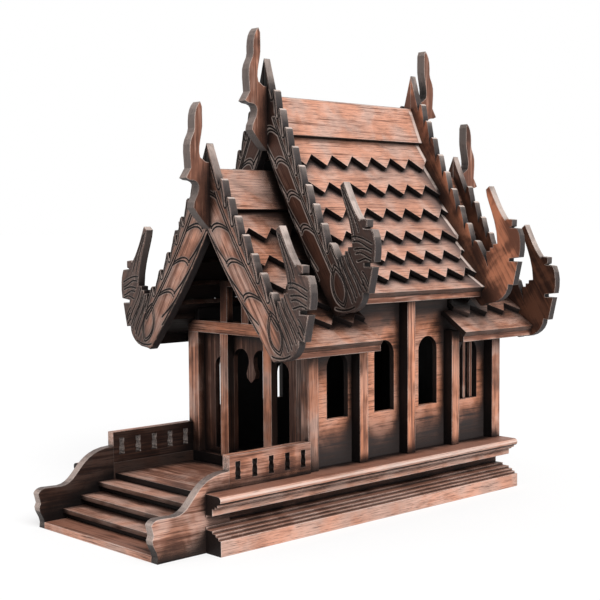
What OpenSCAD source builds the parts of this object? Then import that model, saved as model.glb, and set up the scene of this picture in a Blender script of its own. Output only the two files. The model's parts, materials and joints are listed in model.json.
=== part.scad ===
// Wooden spirit house model: a hall on a waisted base with a stair, under three stepped gable roofs.
// Front faces -Y, +Z is up, origin on the ground in the middle of the footprint. Millimetres.
// Distances along the house are measured from the middle of the main roof.

/* [Base] */
// Clear width between the stair cheeks, which is also the width of the floors
stair_w = 146; // [130:1:165]
// Reach of the mouldings beyond the floors on each side
moulding_out = 25.5; // [22:0.5:32]
// Height of the base and of the hall floor
base_h = 45; // [42:0.5:54]
// Height of the upper moulding
upper_h = 17.5; // [15:0.5:19]
// Height of the lower moulding
lower_h = 20; // [17:0.5:22]
// Height of the plain foot of the lower moulding
foot_h = 12; // [9:0.5:14]
// Radius of the bullnose on the upper moulding
bead_r = 3.2; // [2:0.2:4]
// Width of one step of the mouldings
fillet_w = 3; // [2:0.2:3.6]
// Reach of the mouldings past the front of the porch floor
moulding_past = 25; // [15:0.5:32]
// Reach of the base past the rear of the hall
base_past = 1; // [0:0.5:10]
// Depth of the porch floor before the hall
porch_l = 84; // [70:1:100]
// Drop from the hall floor to the porch floor
porch_drop = 9; // [6:0.5:12]
// Thickness of the porch floor
porch_t = 5; // [3:0.5:8]
// Thickness of the boards behind the mouldings
core_t = 7; // [5:0.5:10]

/* [Stair] */
// Thickness of the stair cheeks and balustrades
cheek_t = 7.8; // [6:0.2:9]
// Number of treads between the plate and the porch floor
treads = 3; // [2:1:4]
// Depth of one step
step_run = 17.5; // [15:0.5:22]
// Height of the plate at the foot of the stair
plate_h = 5.3; // [4:0.1:6]
// Rise from the top tread to the porch floor
last_rise = 5.1; // [3:0.1:8]
// Thickness of a tread, as a share of the rise of a step
tread_share = 0.42; // [0.35:0.01:0.55]
// Overhang of a tread over its riser
nosing = 4; // [2:0.5:6]
// Thickness of a riser
riser_t = 4; // [3:0.5:6]
// Reach of the stair cheeks past the plate
cheek_past = 5; // [3:0.5:8]
// Height of the nose of a stair cheek
nose_h = 33; // [28:0.5:38]
// Length of the nose of a stair cheek
nose_l = 21.5; // [18:0.5:26]
// Height of the balustrades above the hall floor
rail_h = 26; // [22:0.5:32]
// Drop from the balustrade to the top of the stair cheek
cheek_drop = 12; // [9:0.5:15]
// Number of cut-outs in a balustrade
rail_cuts = 5; // [3:1:6]
// Width of a cut-out in a balustrade
cut_w = 5.4; // [4.6:0.2:7]
// Height of a cut-out in a balustrade
cut_h = 14; // [11:0.5:17]
// Height of the cut-outs' feet above the hall floor
cut_foot = 6.5; // [4:0.5:8]

/* [Hall] */
// Reach of the posts beyond the floors on each side
hall_out = 5; // [3:0.5:8]
// Spacing of the posts along the side
bay = 60; // [52:0.5:72]
// Distance of the middle of the hall behind the middle of the roofs
hall_shift = 4; // [2:0.5:5]
// Height of the hall from its floor to the tie beam
hall_h = 107; // [95:0.5:125]
// Width of a side post
post_w = 10; // [8:0.5:12]
// Width of a corner post across the front
corner_w = 14; // [12:0.5:16]
// Projection of the posts before the front and rear walls
front_proud = 6.6; // [5:0.2:8]
// Projection of the posts before the side walls
side_proud = 10; // [8:0.5:11]
// Thickness of the walls
wall_t = 5; // [4:0.5:6]
// Inner edge of the inner front posts, measured from the middle
door_half = 23; // [20:0.5:26]
// Width of an inner front post
front_post_w = 10.5; // [9:0.5:12]
// Height of the tie beam
tie_h = 10.5; // [8:0.5:12]
// Width of the queen posts and the king post
queen_w = 9.2; // [7:0.2:11]
// Height of the queen posts
queen_h = 31; // [26:0.5:34]
// Thickness of the collar beam
collar_h = 5; // [4:0.5:7]

/* [Windows] */
// Spacing of the right windows
window_pitch = 57.3; // [53:0.1:60]
// Distance of the right window row behind the middle of the hall
window_shift = 4.2; // [0:0.2:5]
// Spacing of the left windows
left_pitch = 58.5; // [57.5:0.5:60]
// Distance of the left window row before the middle of the hall
left_shift = 8; // [4:0.5:8.5]
// Width of a window
window_w = 25; // [20:0.5:29]
// Height of the window sills above the hall floor
sill_h = 39; // [30:0.5:48]
// Distance of the crowns of the end windows below the tie beam
end_head = 12.5; // [9:0.5:20]
// Distance of the crowns of the middle windows below the tie beam
mid_head = 6; // [0:0.5:15]
// Height of the thresholds above the hall floor
threshold = 5; // [3:0.5:8]
// Width of an arched opening beside the door
side_door_w = 20; // [16:0.5:24]
// Distance of the crowns of the openings beside the door below the tie beam
side_head = 20; // [14:0.5:26]
// Distance of the crowns of the two arches over the door below the tie beam
door_head = 12; // [9:0.5:18]
// Length of the pendant between the two arches
pendant_l = 29; // [22:0.5:36]
// Width of the bulb of the pendant
pendant_w = 11.6; // [9:0.2:14]
// Width of the neck of the pendant
neck_w = 5.8; // [4.8:0.2:7]

/* [Roofs] */
// Distance of the edge of a lower eave below the underside of the tie beam
eave_hang = 2; // [0:0.5:3]
// Height of the edge of a main eave above that of a lower eave
eave_step = 39; // [34:0.5:46]
// Height of the main ridge above the edge of its eaves
main_rise = 168; // [145:1:200]
// Height of a lower ridge above the edge of its eaves
low_rise = 143; // [125:1:158]
// Reach of a main eave beyond the posts
main_out = 12.7; // [11:0.1:15]
// Reach of a lower eave beyond the posts
low_out = 20.6; // [18:0.1:24]
// Hollow of a main slope, as a share
main_sag = 0.25; // [0.2:0.01:0.3]
// Hollow of a lower slope, as a share
low_sag = 0.354; // [0.3:0.002:0.4]
// Number of saw-tooth boards on a main slope
main_rows = 6; // [5:1:6]
// Number of saw-tooth boards on a lower slope
low_rows = 5; // [4:1:5]
// Height that a ridge board covers
ridge_drop = 33.5; // [28:0.5:40]
// Height that the plain eave board of a main slope covers
main_eave_drop = 10; // [8:0.5:12]
// Height that the plain eave board of a lower slope covers
low_eave_drop = 15; // [13:0.5:15]
// Share by which the first saw-tooth board of a main slope is taller than the mean
main_taper = 0.25; // [0.1:0.01:0.3]
// Share by which the first saw-tooth board of a lower slope is taller than the mean
low_taper = 0.3; // [0.2:0.01:0.3]
// Thickness of the roof boards
roof_t = 4.6; // [3.6:0.2:5.4]
// Length by which a roof board reaches past the notches of the one above
lap_past = 1; // [0.5:0.5:1.5]
// Spacing of the teeth
tooth_pitch = 25.1; // [18:0.1:30]
// Depth of the teeth
tooth_d = 12; // [6:0.5:13]
// Thickness of the eave fascias
fascia_t = 5; // [4:0.5:6]
// Height of the eave fascias
fascia_h = 9; // [7:0.5:11]
// Reach of the main gables past the posts of the middle bays
main_over = 37.5; // [32:0.5:42]
// Reach of the lower gables past the hall
low_over = 36; // [30:0.5:42]
// Reach of the lower eaves past the posts of the middle bays
eave_past = 6; // [3:0.5:12]

/* [Bargeboards] */
// Thickness of the bargeboards
barge_t = 7.6; // [6:0.2:9]
// Reach of a main bargeboard outside the roof line
main_barge_out = 8.5; // [6:0.5:12]
// Reach of a main bargeboard inside the roof line
main_barge_in = 18; // [15:0.5:22]
// Reach of a lower bargeboard outside the roof line
low_barge_out = 8; // [6:0.5:11]
// Reach of a lower bargeboard inside the roof line
low_barge_in = 28; // [24:0.5:31]
// Height of the peak of the main bargeboards above the ridge
main_peak = 31; // [26:0.5:36]
// Height of the peak of the lower bargeboards above the ridge
low_peak = 20.5; // [17:0.5:25]
// Number of fins on a main bargeboard
main_fins = 9; // [7:1:10]
// Number of fins on a lower bargeboard
low_fins = 7; // [5:1:8]
// Height of the tips of the fins above their notches
fin_h = 7; // [5:0.5:8]
// Height of a tail above the lowest point of its bargeboard
tail_h = 106; // [95:1:112]
// Distance of the lowest point of a main bargeboard outside the edge of the eave
main_foot_out = 4.8; // [2:0.2:7]
// Distance of the lowest point of a lower bargeboard inside the edge of the eave
low_foot_in = 10.1; // [8:0.1:13]
// Distance of the lowest point of a main bargeboard below the edge of the eave
main_foot_drop = 14.5; // [12:0.5:18]
// Distance of the lowest point of a lower bargeboard below the edge of the eave
low_foot_drop = 10.5; // [8:0.5:14]

/* [Finials] */
// Height of a finial
finial_h = 103; // [95:1:108]
// Reach of a finial before its bargeboards
finial_reach = 24.5; // [22:0.5:28]
// Thickness of a finial
finial_t = 9; // [7:0.5:11]
// Height of the tips of the main finials above the peak of the bargeboards
main_tip_rise = 24.5; // [22:0.5:34]
// Height of the tips of the lower finials above the peak of the bargeboards
low_tip_rise = 33; // [28:0.5:36]

/* [Fits] */
// Clearance between lapped roof boards
gap = 0.3; // [0.2:0.05:0.5]

/* [Hidden] */
$fn = 48;
wood = [0.45, 0.29, 0.19];
dark = [0.30, 0.19, 0.13];
// Widths
cheek_in = stair_w / 2;
cheek_out = cheek_in + cheek_t;
base_half = cheek_in + moulding_out;
hall_half = cheek_in + hall_out;
wall_out = hall_half - side_proud;
wall_in = wall_out - wall_t;
corner_in = hall_half - corner_w;
main_x = hall_half + main_out;
low_x = hall_half + low_out;
// Lengths
corner_d = front_proud + wall_t;
hall_l = 2 * bay + post_w / 2;
wall_l = hall_l - corner_d;
hall_y = hall_shift - hall_l;
porch_y = hall_y - porch_l;
cheek_lap = 1.6;
fascia_back = 0.5;
cheek_y = porch_y - cheek_lap;
plate_y = porch_y - (treads + 1) * step_run;
nose_y = plate_y - cheek_past;
base_y = porch_y - moulding_past;
base_end = hall_shift + hall_l + base_past;
main_gable = bay + main_over;
low_gable = hall_l + low_over;
main_in = main_gable - barge_t;
low_in = low_gable - barge_t;
low_eave_y = eave_past - bay;
place_y = (-nose_y - low_gable - finial_reach) / 2;
// Heights
tail_k = tail_h / 106;
porch_z = base_h - porch_drop;
rail_z = base_h + rail_h;
tie_z = base_h + hall_h;
tie_top = tie_z + tie_h;
low_eave = tie_z - eave_hang;
main_eave = low_eave + eave_step;
low_ridge = low_eave + low_rise;
main_ridge = main_eave + main_rise;
step_rise = (porch_z - plate_h - last_rise) / treads;
tread_t = tread_share * step_rise;
// Laps of the roof boards
lap = tooth_d + lap_past;
// The lowest roof boards that pass over the side walls
main_over_wall = max([for (i = [1 : main_rows + 1]) if (main_from(i)[0] - lap < wall_out) i]);
low_over_wall = max([for (i = [1 : low_rows + 1]) if (low_from(i)[0] - lap < wall_out) i]);
// Where the first tooth of each row starts, as a share of the spacing
stagger = [0, 0.08, 0.48, 0.85, 0.38, 0.98, 0.73];

// Points of a cubic curve with four control points
function curve(p, n) = [for (i = [0 : n]) let (t = i / n)
    pow(1 - t, 3) * p[0] + 3 * pow(1 - t, 2) * t * p[1] + 3 * (1 - t) * t * t * p[2] + t * t * t * p[3]];

// Hollow roof line: the point at share t of the way down from the ridge
function main_at(t) = [main_x * (t - main_sag * t * (1 - t)), main_ridge - main_rise * t];
function low_at(t) = [low_x * (t - low_sag * t * (1 - t)), low_ridge - low_rise * t];

// Share of the way down at which a roof line is x from the middle
function share_at(x, half, sag) = (sqrt(pow(1 - sag, 2) + 4 * sag * x / half) - 1 + sag) / (2 * sag);

// Share of the way down at the lower edge of row i: ridge board, saw-tooth boards, eave board
function row_share(i, rows, rise, eave_drop, taper) =
    let (mean = (rise - ridge_drop - eave_drop) / rows)
    let (tall = mean * (1 + taper * (1 - (i - 1) / (rows - 1))))
    i == 0 ? ridge_drop / rise : i > rows ? 1 : (ridge_drop + i * tall) / rise;
function main_tip(i) = main_at(row_share(i, main_rows, main_rise, main_eave_drop, main_taper));
function low_tip(i) = low_at(row_share(i, low_rows, low_rise, low_eave_drop, low_taper));

// A board starts under the foot of the one above and reaches to its own tip
function board_start(above, slope) = above - (roof_t + gap) * [sin(slope), cos(slope)];
function board_lap(i) = i == 1 ? lap / 2 : lap;
function steep(a, b) = atan2(a[1] - b[1], b[0] - a[0]);
function main_from(i) = i == 0 ? [0, main_ridge] : board_start(main_tip(i - 1), main_slope(i - 1));
function low_from(i) = i == 0 ? [0, low_ridge] : board_start(low_tip(i - 1), low_slope(i - 1));
function main_slope(i) = steep(main_from(i), main_tip(i));
function low_slope(i) = steep(low_from(i), low_tip(i));

// Moves a piece from the middle of the roof to the middle of the object's footprint
module place() {
    translate([0, place_y, 0])
        children();
}

// Mirrors a piece of the right side to the left
module left() {
    mirror([1, 0, 0])
        children();
}

// Mirrors a piece of the front to the rear
module rear() {
    mirror([0, 1, 0])
        children();
}

// Mirrors a piece of the hall's front to its rear
module hall_rear() {
    translate([0, hall_shift, 0])
        mirror([0, 1, 0])
            translate([0, -hall_shift, 0])
                children();
}

// A flat piece drawn in X and Z, from y0 to y1
module along_y(y0, y1) {
    translate([0, y1, 0])
        rotate([90, 0, 0])
            linear_extrude(y1 - y0)
                children();
}

// A flat piece drawn in Y and Z, from x0 to x1
module along_x(x0, x1) {
    translate([x0, 0, 0])
        rotate([90, 0, 90])
            linear_extrude(x1 - x0)
                children();
}

// Upper moulding: a bullnose over two fillets, a fascia and a neck
module upper_profile() {
    s = (upper_h - 2 * bead_r) / 6;
    under = base_h - 2 * bead_r;
    bead = [for (a = [90 : -30 : -90])
        [base_half - bead_r + bead_r * cos(a), base_h - bead_r + bead_r * sin(a)]];
    polygon(concat([[cheek_in, base_h]], bead, [
        [base_half - 1.3 * fillet_w, under], [base_half - 1.3 * fillet_w, under - s],
        [base_half - 2.3 * fillet_w, under - s], [base_half - 2.3 * fillet_w, under - 2 * s],
        [base_half - 3.3 * fillet_w, under - 2 * s], [base_half - 3.3 * fillet_w, under - 5 * s],
        [base_half - 5.7 * fillet_w, under - 5 * s], [base_half - 5.7 * fillet_w, base_h - upper_h],
        [cheek_in, base_h - upper_h]
    ]));
}

// Lower moulding: a plain foot under four fillets
module lower_profile() {
    s = (lower_h - foot_h) / 4;
    polygon([
        [cheek_in, 0], [base_half, 0], [base_half, foot_h],
        [base_half - fillet_w, foot_h], [base_half - fillet_w, foot_h + s],
        [base_half - 2 * fillet_w, foot_h + s], [base_half - 2 * fillet_w, foot_h + 2 * s],
        [base_half - 3.3 * fillet_w, foot_h + 2 * s], [base_half - 3.3 * fillet_w, foot_h + 3 * s],
        [base_half - 5.7 * fillet_w, foot_h + 3 * s], [base_half - 5.7 * fillet_w, lower_h],
        [cheek_in, lower_h]
    ]);
}
module moulding() {
    difference() {
        along_y(base_y, base_end) {
            upper_profile();
            lower_profile();
        }
        translate([cheek_in - 1, base_y - 1, -1])
            cube([cheek_t + 1, cheek_y - base_y + 1, base_h + 2]);
    }
}
module base_moulding_left() {
    color(wood)
        place()
            left()
                moulding();
}
module base_moulding_right() {
    color(wood)
        place()
            moulding();
}

// Boards behind the mouldings
module core() {
    along_x(cheek_in - core_t, cheek_in)
        polygon([
            [porch_y, 0], [base_end, 0], [base_end, porch_z], [hall_y, porch_z],
            [hall_y, porch_z - porch_t], [porch_y, porch_z - porch_t]
        ]);
}
module base_core_left() {
    color(dark)
        place()
            left()
                core();
}
module base_core_right() {
    color(dark)
        place()
            core();
}
module rear_plinth() {
    color(wood)
        place()
            translate([core_t - cheek_in, base_end - core_t, 0])
                cube([2 * (cheek_in - core_t), core_t, porch_z]);
}

// Floors
module hall_floor() {
    color(wood)
        place()
            translate([-cheek_in, hall_y, porch_z])
                cube([stair_w, base_end - hall_y, porch_drop]);
}
module porch_floor() {
    color(wood)
        place()
            translate([-cheek_in, porch_y, porch_z - porch_t])
                cube([stair_w, porch_l, porch_t]);
}

// Stair of a plate and treads between the cheeks
module stair_plate() {
    color(wood)
        place()
            translate([-cheek_in, plate_y, 0])
                cube([stair_w, porch_y - plate_y, plate_h]);
}
module stair_treads() {
    color(wood)
        place()
            for (i = [1 : treads])
                translate([-cheek_in, plate_y + i * step_run, plate_h + i * step_rise - tread_t])
                    cube([stair_w, step_run + (i < treads ? nosing + riser_t : 0), tread_t]);
}
module stair_risers() {
    color(dark)
        place()
            for (i = [1 : treads])
                translate([-cheek_in, plate_y + i * step_run + nosing, plate_h + (i - 1) * step_rise])
                    cube([stair_w, riser_t, step_rise - tread_t]);
}

// Cheek board with a scalloped nose and an S-curved top
module cheek() {
    f = nose_y;
    h = nose_h;
    top = rail_z - cheek_drop;
    run = cheek_y - f;
    scallop = curve([[f + 5, 0], [f + 8, 0.3 * h], [f - 3, 0.42 * h], [f + 2, 0.64 * h]], 6);
    tip = curve([[f, 0.88 * h], [f + 1, 0.95 * h], [f + 4, h], [f + 7, h]], 4);
    sweep = curve([[f + nose_l, 0.98 * h], [f + 0.55 * run, h], [f + 0.52 * run, top], [cheek_y, top]], 12);
    along_x(cheek_in, cheek_out)
        polygon(concat(scallop, tip, sweep, [[cheek_y, 0]]));
}
module stair_cheek_left() {
    color(wood)
        place()
            left()
                cheek();
}
module stair_cheek_right() {
    color(wood)
        place()
            cheek();
}

// Balustrade panel with baluster-shaped cut-outs
module baluster_cut() {
    w = cut_w / 2;
    h = cut_h;
    polygon([
        [-w, 0], [w, 0], [w, 0.1 * h], [0.86 * w, 0.18 * h],
        [w, 0.4 * h], [0.72 * w, 0.66 * h], [0.9 * w, 0.78 * h], [0.9 * w, h],
        [-0.9 * w, h], [-0.9 * w, 0.78 * h], [-0.72 * w, 0.66 * h], [-w, 0.4 * h],
        [-0.86 * w, 0.18 * h], [-w, 0.1 * h]
    ]);
}
module balustrade() {
    rail_l = hall_y - cheek_y;
    along_x(cheek_in, cheek_out)
        difference() {
            translate([cheek_y, base_h])
                square([rail_l, rail_h]);
            for (i = [0 : rail_cuts - 1])
                translate([cheek_y + rail_l * (i + 0.5) / rail_cuts, base_h + cut_foot])
                    baluster_cut();
        }
}
module balustrade_left() {
    color(wood)
        place()
            left()
                balustrade();
}
module balustrade_right() {
    color(wood)
        place()
            balustrade();
}

// Posts
module corner_posts() {
    color(wood)
        place()
            for (s = [0, 1])
                for (r = [0, 1])
                    translate([0, hall_shift, 0])
                        mirror([s, 0, 0])
                            mirror([0, r, 0])
                                translate([corner_in, -hall_l, base_h])
                                    cube([corner_w, corner_d, tie_z - base_h]);
}
module side_posts() {
    for (i = [-1 : 1])
        translate([wall_out, hall_shift + i * bay - post_w / 2, base_h])
            cube([side_proud, post_w, (i == 0 ? main_eave : low_eave) - base_h]);
}
module side_posts_left() {
    color(wood)
        place()
            left()
                side_posts();
}
module side_posts_right() {
    color(wood)
        place()
            side_posts();
}
module inner_posts() {
    for (x = [-door_half - front_post_w, door_half])
        translate([x, hall_y, base_h])
            cube([front_post_w, front_proud, hall_h]);
}
module front_posts() {
    color(wood)
        place()
            inner_posts();
}
module rear_posts() {
    color(wood)
        place()
            hall_rear()
                inner_posts();
}

// Arched opening of width w standing at height z0 with its crown at z1
module arch(w, z0, z1) {
    translate([-w / 2, z0])
        square([w, z1 - z0 - w / 2]);
    translate([0, z1 - w / 2])
        circle(d = w);
}

// Space above the underside of a roof board
module under(from, slope, y0, y1) {
    translate([from[0], y0, from[1]])
        rotate([0, slope, 0])
            translate([-main_rise, 0, -roof_t - gap])
                cube([2 * main_rise, y1 - y0, main_rise]);
}

// Side wall with four arched windows, cut to the undersides of the roofs
module side_wall(pitch, shift) {
    y0 = hall_shift - wall_l;
    difference() {
        along_x(wall_in, wall_out)
            difference() {
                union() {
                    translate([y0, base_h])
                        square([2 * wall_l, tie_top - base_h]);
                    translate([hall_y, tie_top])
                        square([2 * hall_l, main_ridge - tie_top]);
                }
                for (i = [0 : 3])
                    translate([hall_shift + shift + (i - 1.5) * pitch, 0])
                        arch(window_w, base_h + sill_h, tie_z - (i == 0 || i == 3 ? end_head : mid_head));
            }
        under(main_from(main_over_wall), main_slope(main_over_wall), hall_y - 1, hall_y + 2 * hall_l + 1);
        under(low_from(low_over_wall), low_slope(low_over_wall), hall_y - 1, hall_shift - bay);
        hall_rear()
            under(low_from(low_over_wall), low_slope(low_over_wall), hall_y - 1, hall_shift - bay);
    }
}
module left_wall() {
    color(wood)
        place()
            left()
                side_wall(left_pitch, -left_shift);
}
module right_wall() {
    color(wood)
        place()
            side_wall(window_pitch, window_shift);
}

// Pendant between the two arches over the door
module pendant() {
    crown = tie_z - door_head;
    l = pendant_l;
    w = pendant_w;
    translate([-neck_w / 2, crown - 0.75 * l])
        square([neck_w, 0.75 * l + 1]);
    polygon([
        [-neck_w / 2, crown - 0.4 * l], [neck_w / 2, crown - 0.4 * l],
        [0.5 * w, crown - 0.72 * l], [0.42 * w, crown - 0.86 * l], [0, crown - l],
        [-0.42 * w, crown - 0.86 * l], [-0.5 * w, crown - 0.72 * l]
    ]);
}

// Front wall with a twin arch and pendant over the door and an arched opening at each side
module front_wall() {
    arch_w = door_half - neck_w / 2;
    foot = base_h + threshold;
    crown = tie_z - door_head;
    side_x = door_half + front_post_w / 2 + side_door_w / 2;
    color(dark)
        place()
            along_y(hall_y + front_proud, hall_y + corner_d)
                difference() {
                    translate([-corner_in, base_h])
                        square([2 * corner_in, hall_h]);
                    difference() {
                        union() {
                            translate([-door_half, foot])
                                square([2 * door_half, crown - foot - 0.62 * pendant_l]);
                            for (s = [-1, 1])
                                translate([s * (door_half + neck_w / 2) / 2, 0])
                                    arch(arch_w, foot, crown);
                        }
                        pendant();
                    }
                    for (s = [-1, 1])
                        translate([s * side_x, 0])
                            arch(side_door_w, foot, tie_z - side_head);
                }
}
module rear_wall() {
    color(dark)
        place()
            along_y(hall_shift + wall_l, hall_shift + hall_l - front_proud)
                translate([-corner_in, base_h])
                    square([2 * corner_in, hall_h]);
}

// Tie beams, cut to the undersides of the eave boards, and the open gable frames above them
module tie_beam() {
    i = low_rows + 1;
    difference() {
        translate([-hall_half, hall_y, tie_z])
            cube([2 * hall_half, corner_d, tie_h]);
        for (s = [0, 1])
            mirror([s, 0, 0])
                under(low_from(i), low_slope(i), hall_y - 1, hall_y + corner_d + 1);
    }
}
module gable_frame() {
    queen_x = door_half + front_post_w / 2;
    along_y(hall_y, hall_y + front_proud) {
        for (x = [-queen_x, 0, queen_x])
            translate([x - queen_w / 2, tie_top])
                square([queen_w, queen_h + gap]);
        translate([-queen_x - front_post_w / 2, tie_top + queen_h])
            square([2 * queen_x + front_post_w, collar_h]);
    }
}
module front_tie_beam() {
    color(wood)
        place()
            tie_beam();
}
module rear_tie_beam() {
    color(wood)
        place()
            hall_rear()
                tie_beam();
}
module front_gable_frame() {
    color(wood)
        place()
            gable_frame();
}
module rear_gable_frame() {
    color(wood)
        place()
            hall_rear()
                gable_frame();
}

// Outline of a roof board of length l, with a straight or a toothed lower edge
module board_outline(l, y0, y1, up, row, toothed) {
    n = ceil(max(-y0, y1) / tooth_pitch) + 1;
    phase = toothed ? stagger[row] : 0;
    teeth = [for (i = [-n : n])
        for (q = [[l, 0], [l - tooth_d, 0.5]])
            [q[0], (i + phase + q[1]) * tooth_pitch]];
    intersection() {
        translate([-up, y0])
            square([l + up, y1 - y0]);
        polygon(toothed ? concat([[-up, teeth[0][1]]], teeth, [[-up, teeth[len(teeth) - 1][1]]])
            : [[-up, y0], [l, y0], [l, y1], [-up, y1]]);
    }
}

// One roof board lying along its slope
module roof_board(from, to, slope, y0, y1, up, row, toothed) {
    translate([from[0], 0, from[1]])
        rotate([0, slope, 0])
            translate([0, 0, -roof_t])
                linear_extrude(roof_t)
                    board_outline(norm(to - from), y0, y1, up, row, toothed);
}

// Cuts a ridge board to the middle plane
module ridge_board(from, to, slope, y0, y1) {
    difference() {
        roof_board(from, to, slope, y0, y1, roof_t * 2, 0, false);
        translate([-main_x, y0 - 1, from[1] - main_rise])
            cube([main_x, y1 - y0 + 2, 2 * main_rise]);
    }
}
module main_slope_boards() {
    i_eave = main_rows + 1;
    ridge_board(main_from(0), main_tip(0), main_slope(0), -main_in, main_in);
    for (i = [1 : main_rows])
        roof_board(main_from(i), main_tip(i), main_slope(i), -main_in, main_in, board_lap(i), i, true);
    roof_board(main_from(i_eave), main_tip(i_eave), main_slope(i_eave), -main_in, main_in, lap, 0, false);
}

// Lower slope of the front; shift is the distance of the hall's middle behind the roof's
module low_slope_boards(shift) {
    y_row = shift - bay - gap;
    i_eave = low_rows + 1;
    ridge_board(low_from(0), low_tip(0), low_slope(0), -low_in, y_row);
    for (i = [1 : low_rows])
        roof_board(low_from(i), low_tip(i), low_slope(i), -low_in, y_row, board_lap(i), i, true);
    roof_board(low_from(i_eave), low_tip(i_eave), low_slope(i_eave), -low_in, low_eave_y, lap, 0, false);
}
module main_roof_left() {
    color(wood)
        place()
            left()
                main_slope_boards();
}
module main_roof_right() {
    color(wood)
        place()
            main_slope_boards();
}
module front_roof_left() {
    color(wood)
        place()
            left()
                low_slope_boards(hall_shift);
}
module front_roof_right() {
    color(wood)
        place()
            low_slope_boards(hall_shift);
}
module rear_roof_left() {
    color(wood)
        place()
            left()
                rear()
                    low_slope_boards(-hall_shift);
}
module rear_roof_right() {
    color(wood)
        place()
            rear()
                low_slope_boards(-hall_shift);
}

// Fascias hang under the eave boards, set back from their edges
module fascia(from, to, slope, y0, y1) {
    x1 = to[0] - roof_t * sin(slope) - fascia_back;
    difference() {
        translate([x1 - fascia_t, y0, to[1] - fascia_h])
            cube([fascia_t, y1 - y0, 3 * fascia_h]);
        under(from, slope, y0 - 1, y1 + 1);
    }
}
module main_fascias() {
    i = main_rows + 1;
    color(wood)
        place()
            for (s = [0, 1])
                mirror([s, 0, 0])
                    fascia(main_from(i), main_tip(i), main_slope(i), -main_in, main_in);
}
module low_fascias() {
    i = low_rows + 1;
    for (s = [0, 1])
        mirror([s, 0, 0])
            fascia(low_from(i), low_tip(i), low_slope(i), -low_in, low_eave_y);
}
module front_fascias() {
    color(wood)
        place()
            low_fascias();
}
module rear_fascias() {
    color(wood)
        place()
            rear()
                low_fascias();
}

// Upright fins on the upper edge, each from the notch behind its tip to the next notch
function fins(p) = [for (i = [0 : len(p) - 2]) let (a = p[i], u = p[i + 1] - p[i])
    each [
        a, a + fin_h * [0.16, 0.6], a + fin_h * [0.22, 0.93], a + fin_h * [0.36, 1],
        a + [0.12 * u[0] + 0.46 * fin_h, 0.8 * fin_h], a + [0.3 * u[0] + 0.42 * fin_h, 0],
        a + [0.55 * u[0] + 0.32 * fin_h, 0.33 * u[1]], a + [0.8 * u[0] + 0.14 * fin_h, 0.66 * u[1]]
    ]];

// Outer lobes, horn and inner steps of a tail, from the lowest point of its board, drawn 106 high
function tail() = tail_k * concat(
    [[22, 17.5], [27.5, 17], [32.5, 38], [23, 38.2], [23, 40.8], [34, 42]],
    curve([[34, 42], [36, 50], [36, 60], [32, 67.5]], 4),
    [[22.5, 68.5], [26, 69.5], [26.3, 75.5], [20, 76.2]],
    curve([[18, 75], [10, 84], [5, 96], [0, 106]], 6),
    curve([[-3.8, 103], [-3, 92], [9, 76], [9.5, 54]], 6),
    [[4.6, 53.6], [4.6, 50.3], [1, 50.3], [1, 47.1], [-3.2, 47.1], [-3, 42]]);

// Bargeboard of the right side: peak bar, fins, tail, round foot and inner edge along a roof line
module bargeboard(line, peak, outside, inside, apex, fin_from, fin_to, n, foot, gable) {
    inner_to = 0.93;
    crotch = foot + [-0.5, 31] * tail_k;
    edge = [for (i = [0 : n - 1]) line(fin_from + (fin_to - fin_from) * i / n) + [outside, 0]];
    notches = concat(edge, [crotch]);
    inner = [for (i = [0 : 8]) line(apex + (inner_to - apex) * i / 8) - [inside, 0]];
    end = inner[8];
    run = end - inner[7];
    bottom = curve([end, end + 3 * run, foot - [12, 0] * tail_k, foot], 6);
    heel = curve([foot, foot + [12, 0] * tail_k, foot + [22, 8] * tail_k, foot + [22, 17.5] * tail_k], 6);
    upper = concat([[0, peak]], fins(notches), [crotch]);
    along_y(-gable, -gable + barge_t)
        polygon(concat(
            inner,
            [for (i = [1 : 6]) bottom[i]],
            [for (i = [1 : 6]) heel[i]],
            [for (i = [1 : len(tail()) - 1]) foot + tail()[i]],
            [for (i = [len(upper) - 1 : -1 : 0]) upper[i]]
        ));
}
module main_barge() {
    bargeboard(function (t) main_at(t), main_ridge + main_peak, main_barge_out, main_barge_in,
        share_at(main_barge_in, main_x, main_sag), 0.02, 0.885, main_fins,
        [main_x + main_foot_out, main_eave - main_foot_drop], main_gable);
}
module low_barge() {
    bargeboard(function (t) low_at(t), low_ridge + low_peak, low_barge_out, low_barge_in,
        share_at(low_barge_in, low_x, low_sag), 0.112, 0.85, low_fins,
        [low_x - low_foot_in, low_eave - low_foot_drop], low_gable);
}
module main_front_bargeboard_left() {
    color(dark)
        place()
            left()
                main_barge();
}
module main_front_bargeboard_right() {
    color(dark)
        place()
            main_barge();
}
module main_rear_bargeboard_left() {
    color(dark)
        place()
            left()
                rear()
                    main_barge();
}
module main_rear_bargeboard_right() {
    color(dark)
        place()
            rear()
                main_barge();
}
module low_front_bargeboard_left() {
    color(dark)
        place()
            left()
                low_barge();
}
module low_front_bargeboard_right() {
    color(dark)
        place()
            low_barge();
}
module low_rear_bargeboard_left() {
    color(dark)
        place()
            left()
                rear()
                    low_barge();
}
module low_rear_bargeboard_right() {
    color(dark)
        place()
            rear()
                low_barge();
}

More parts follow.
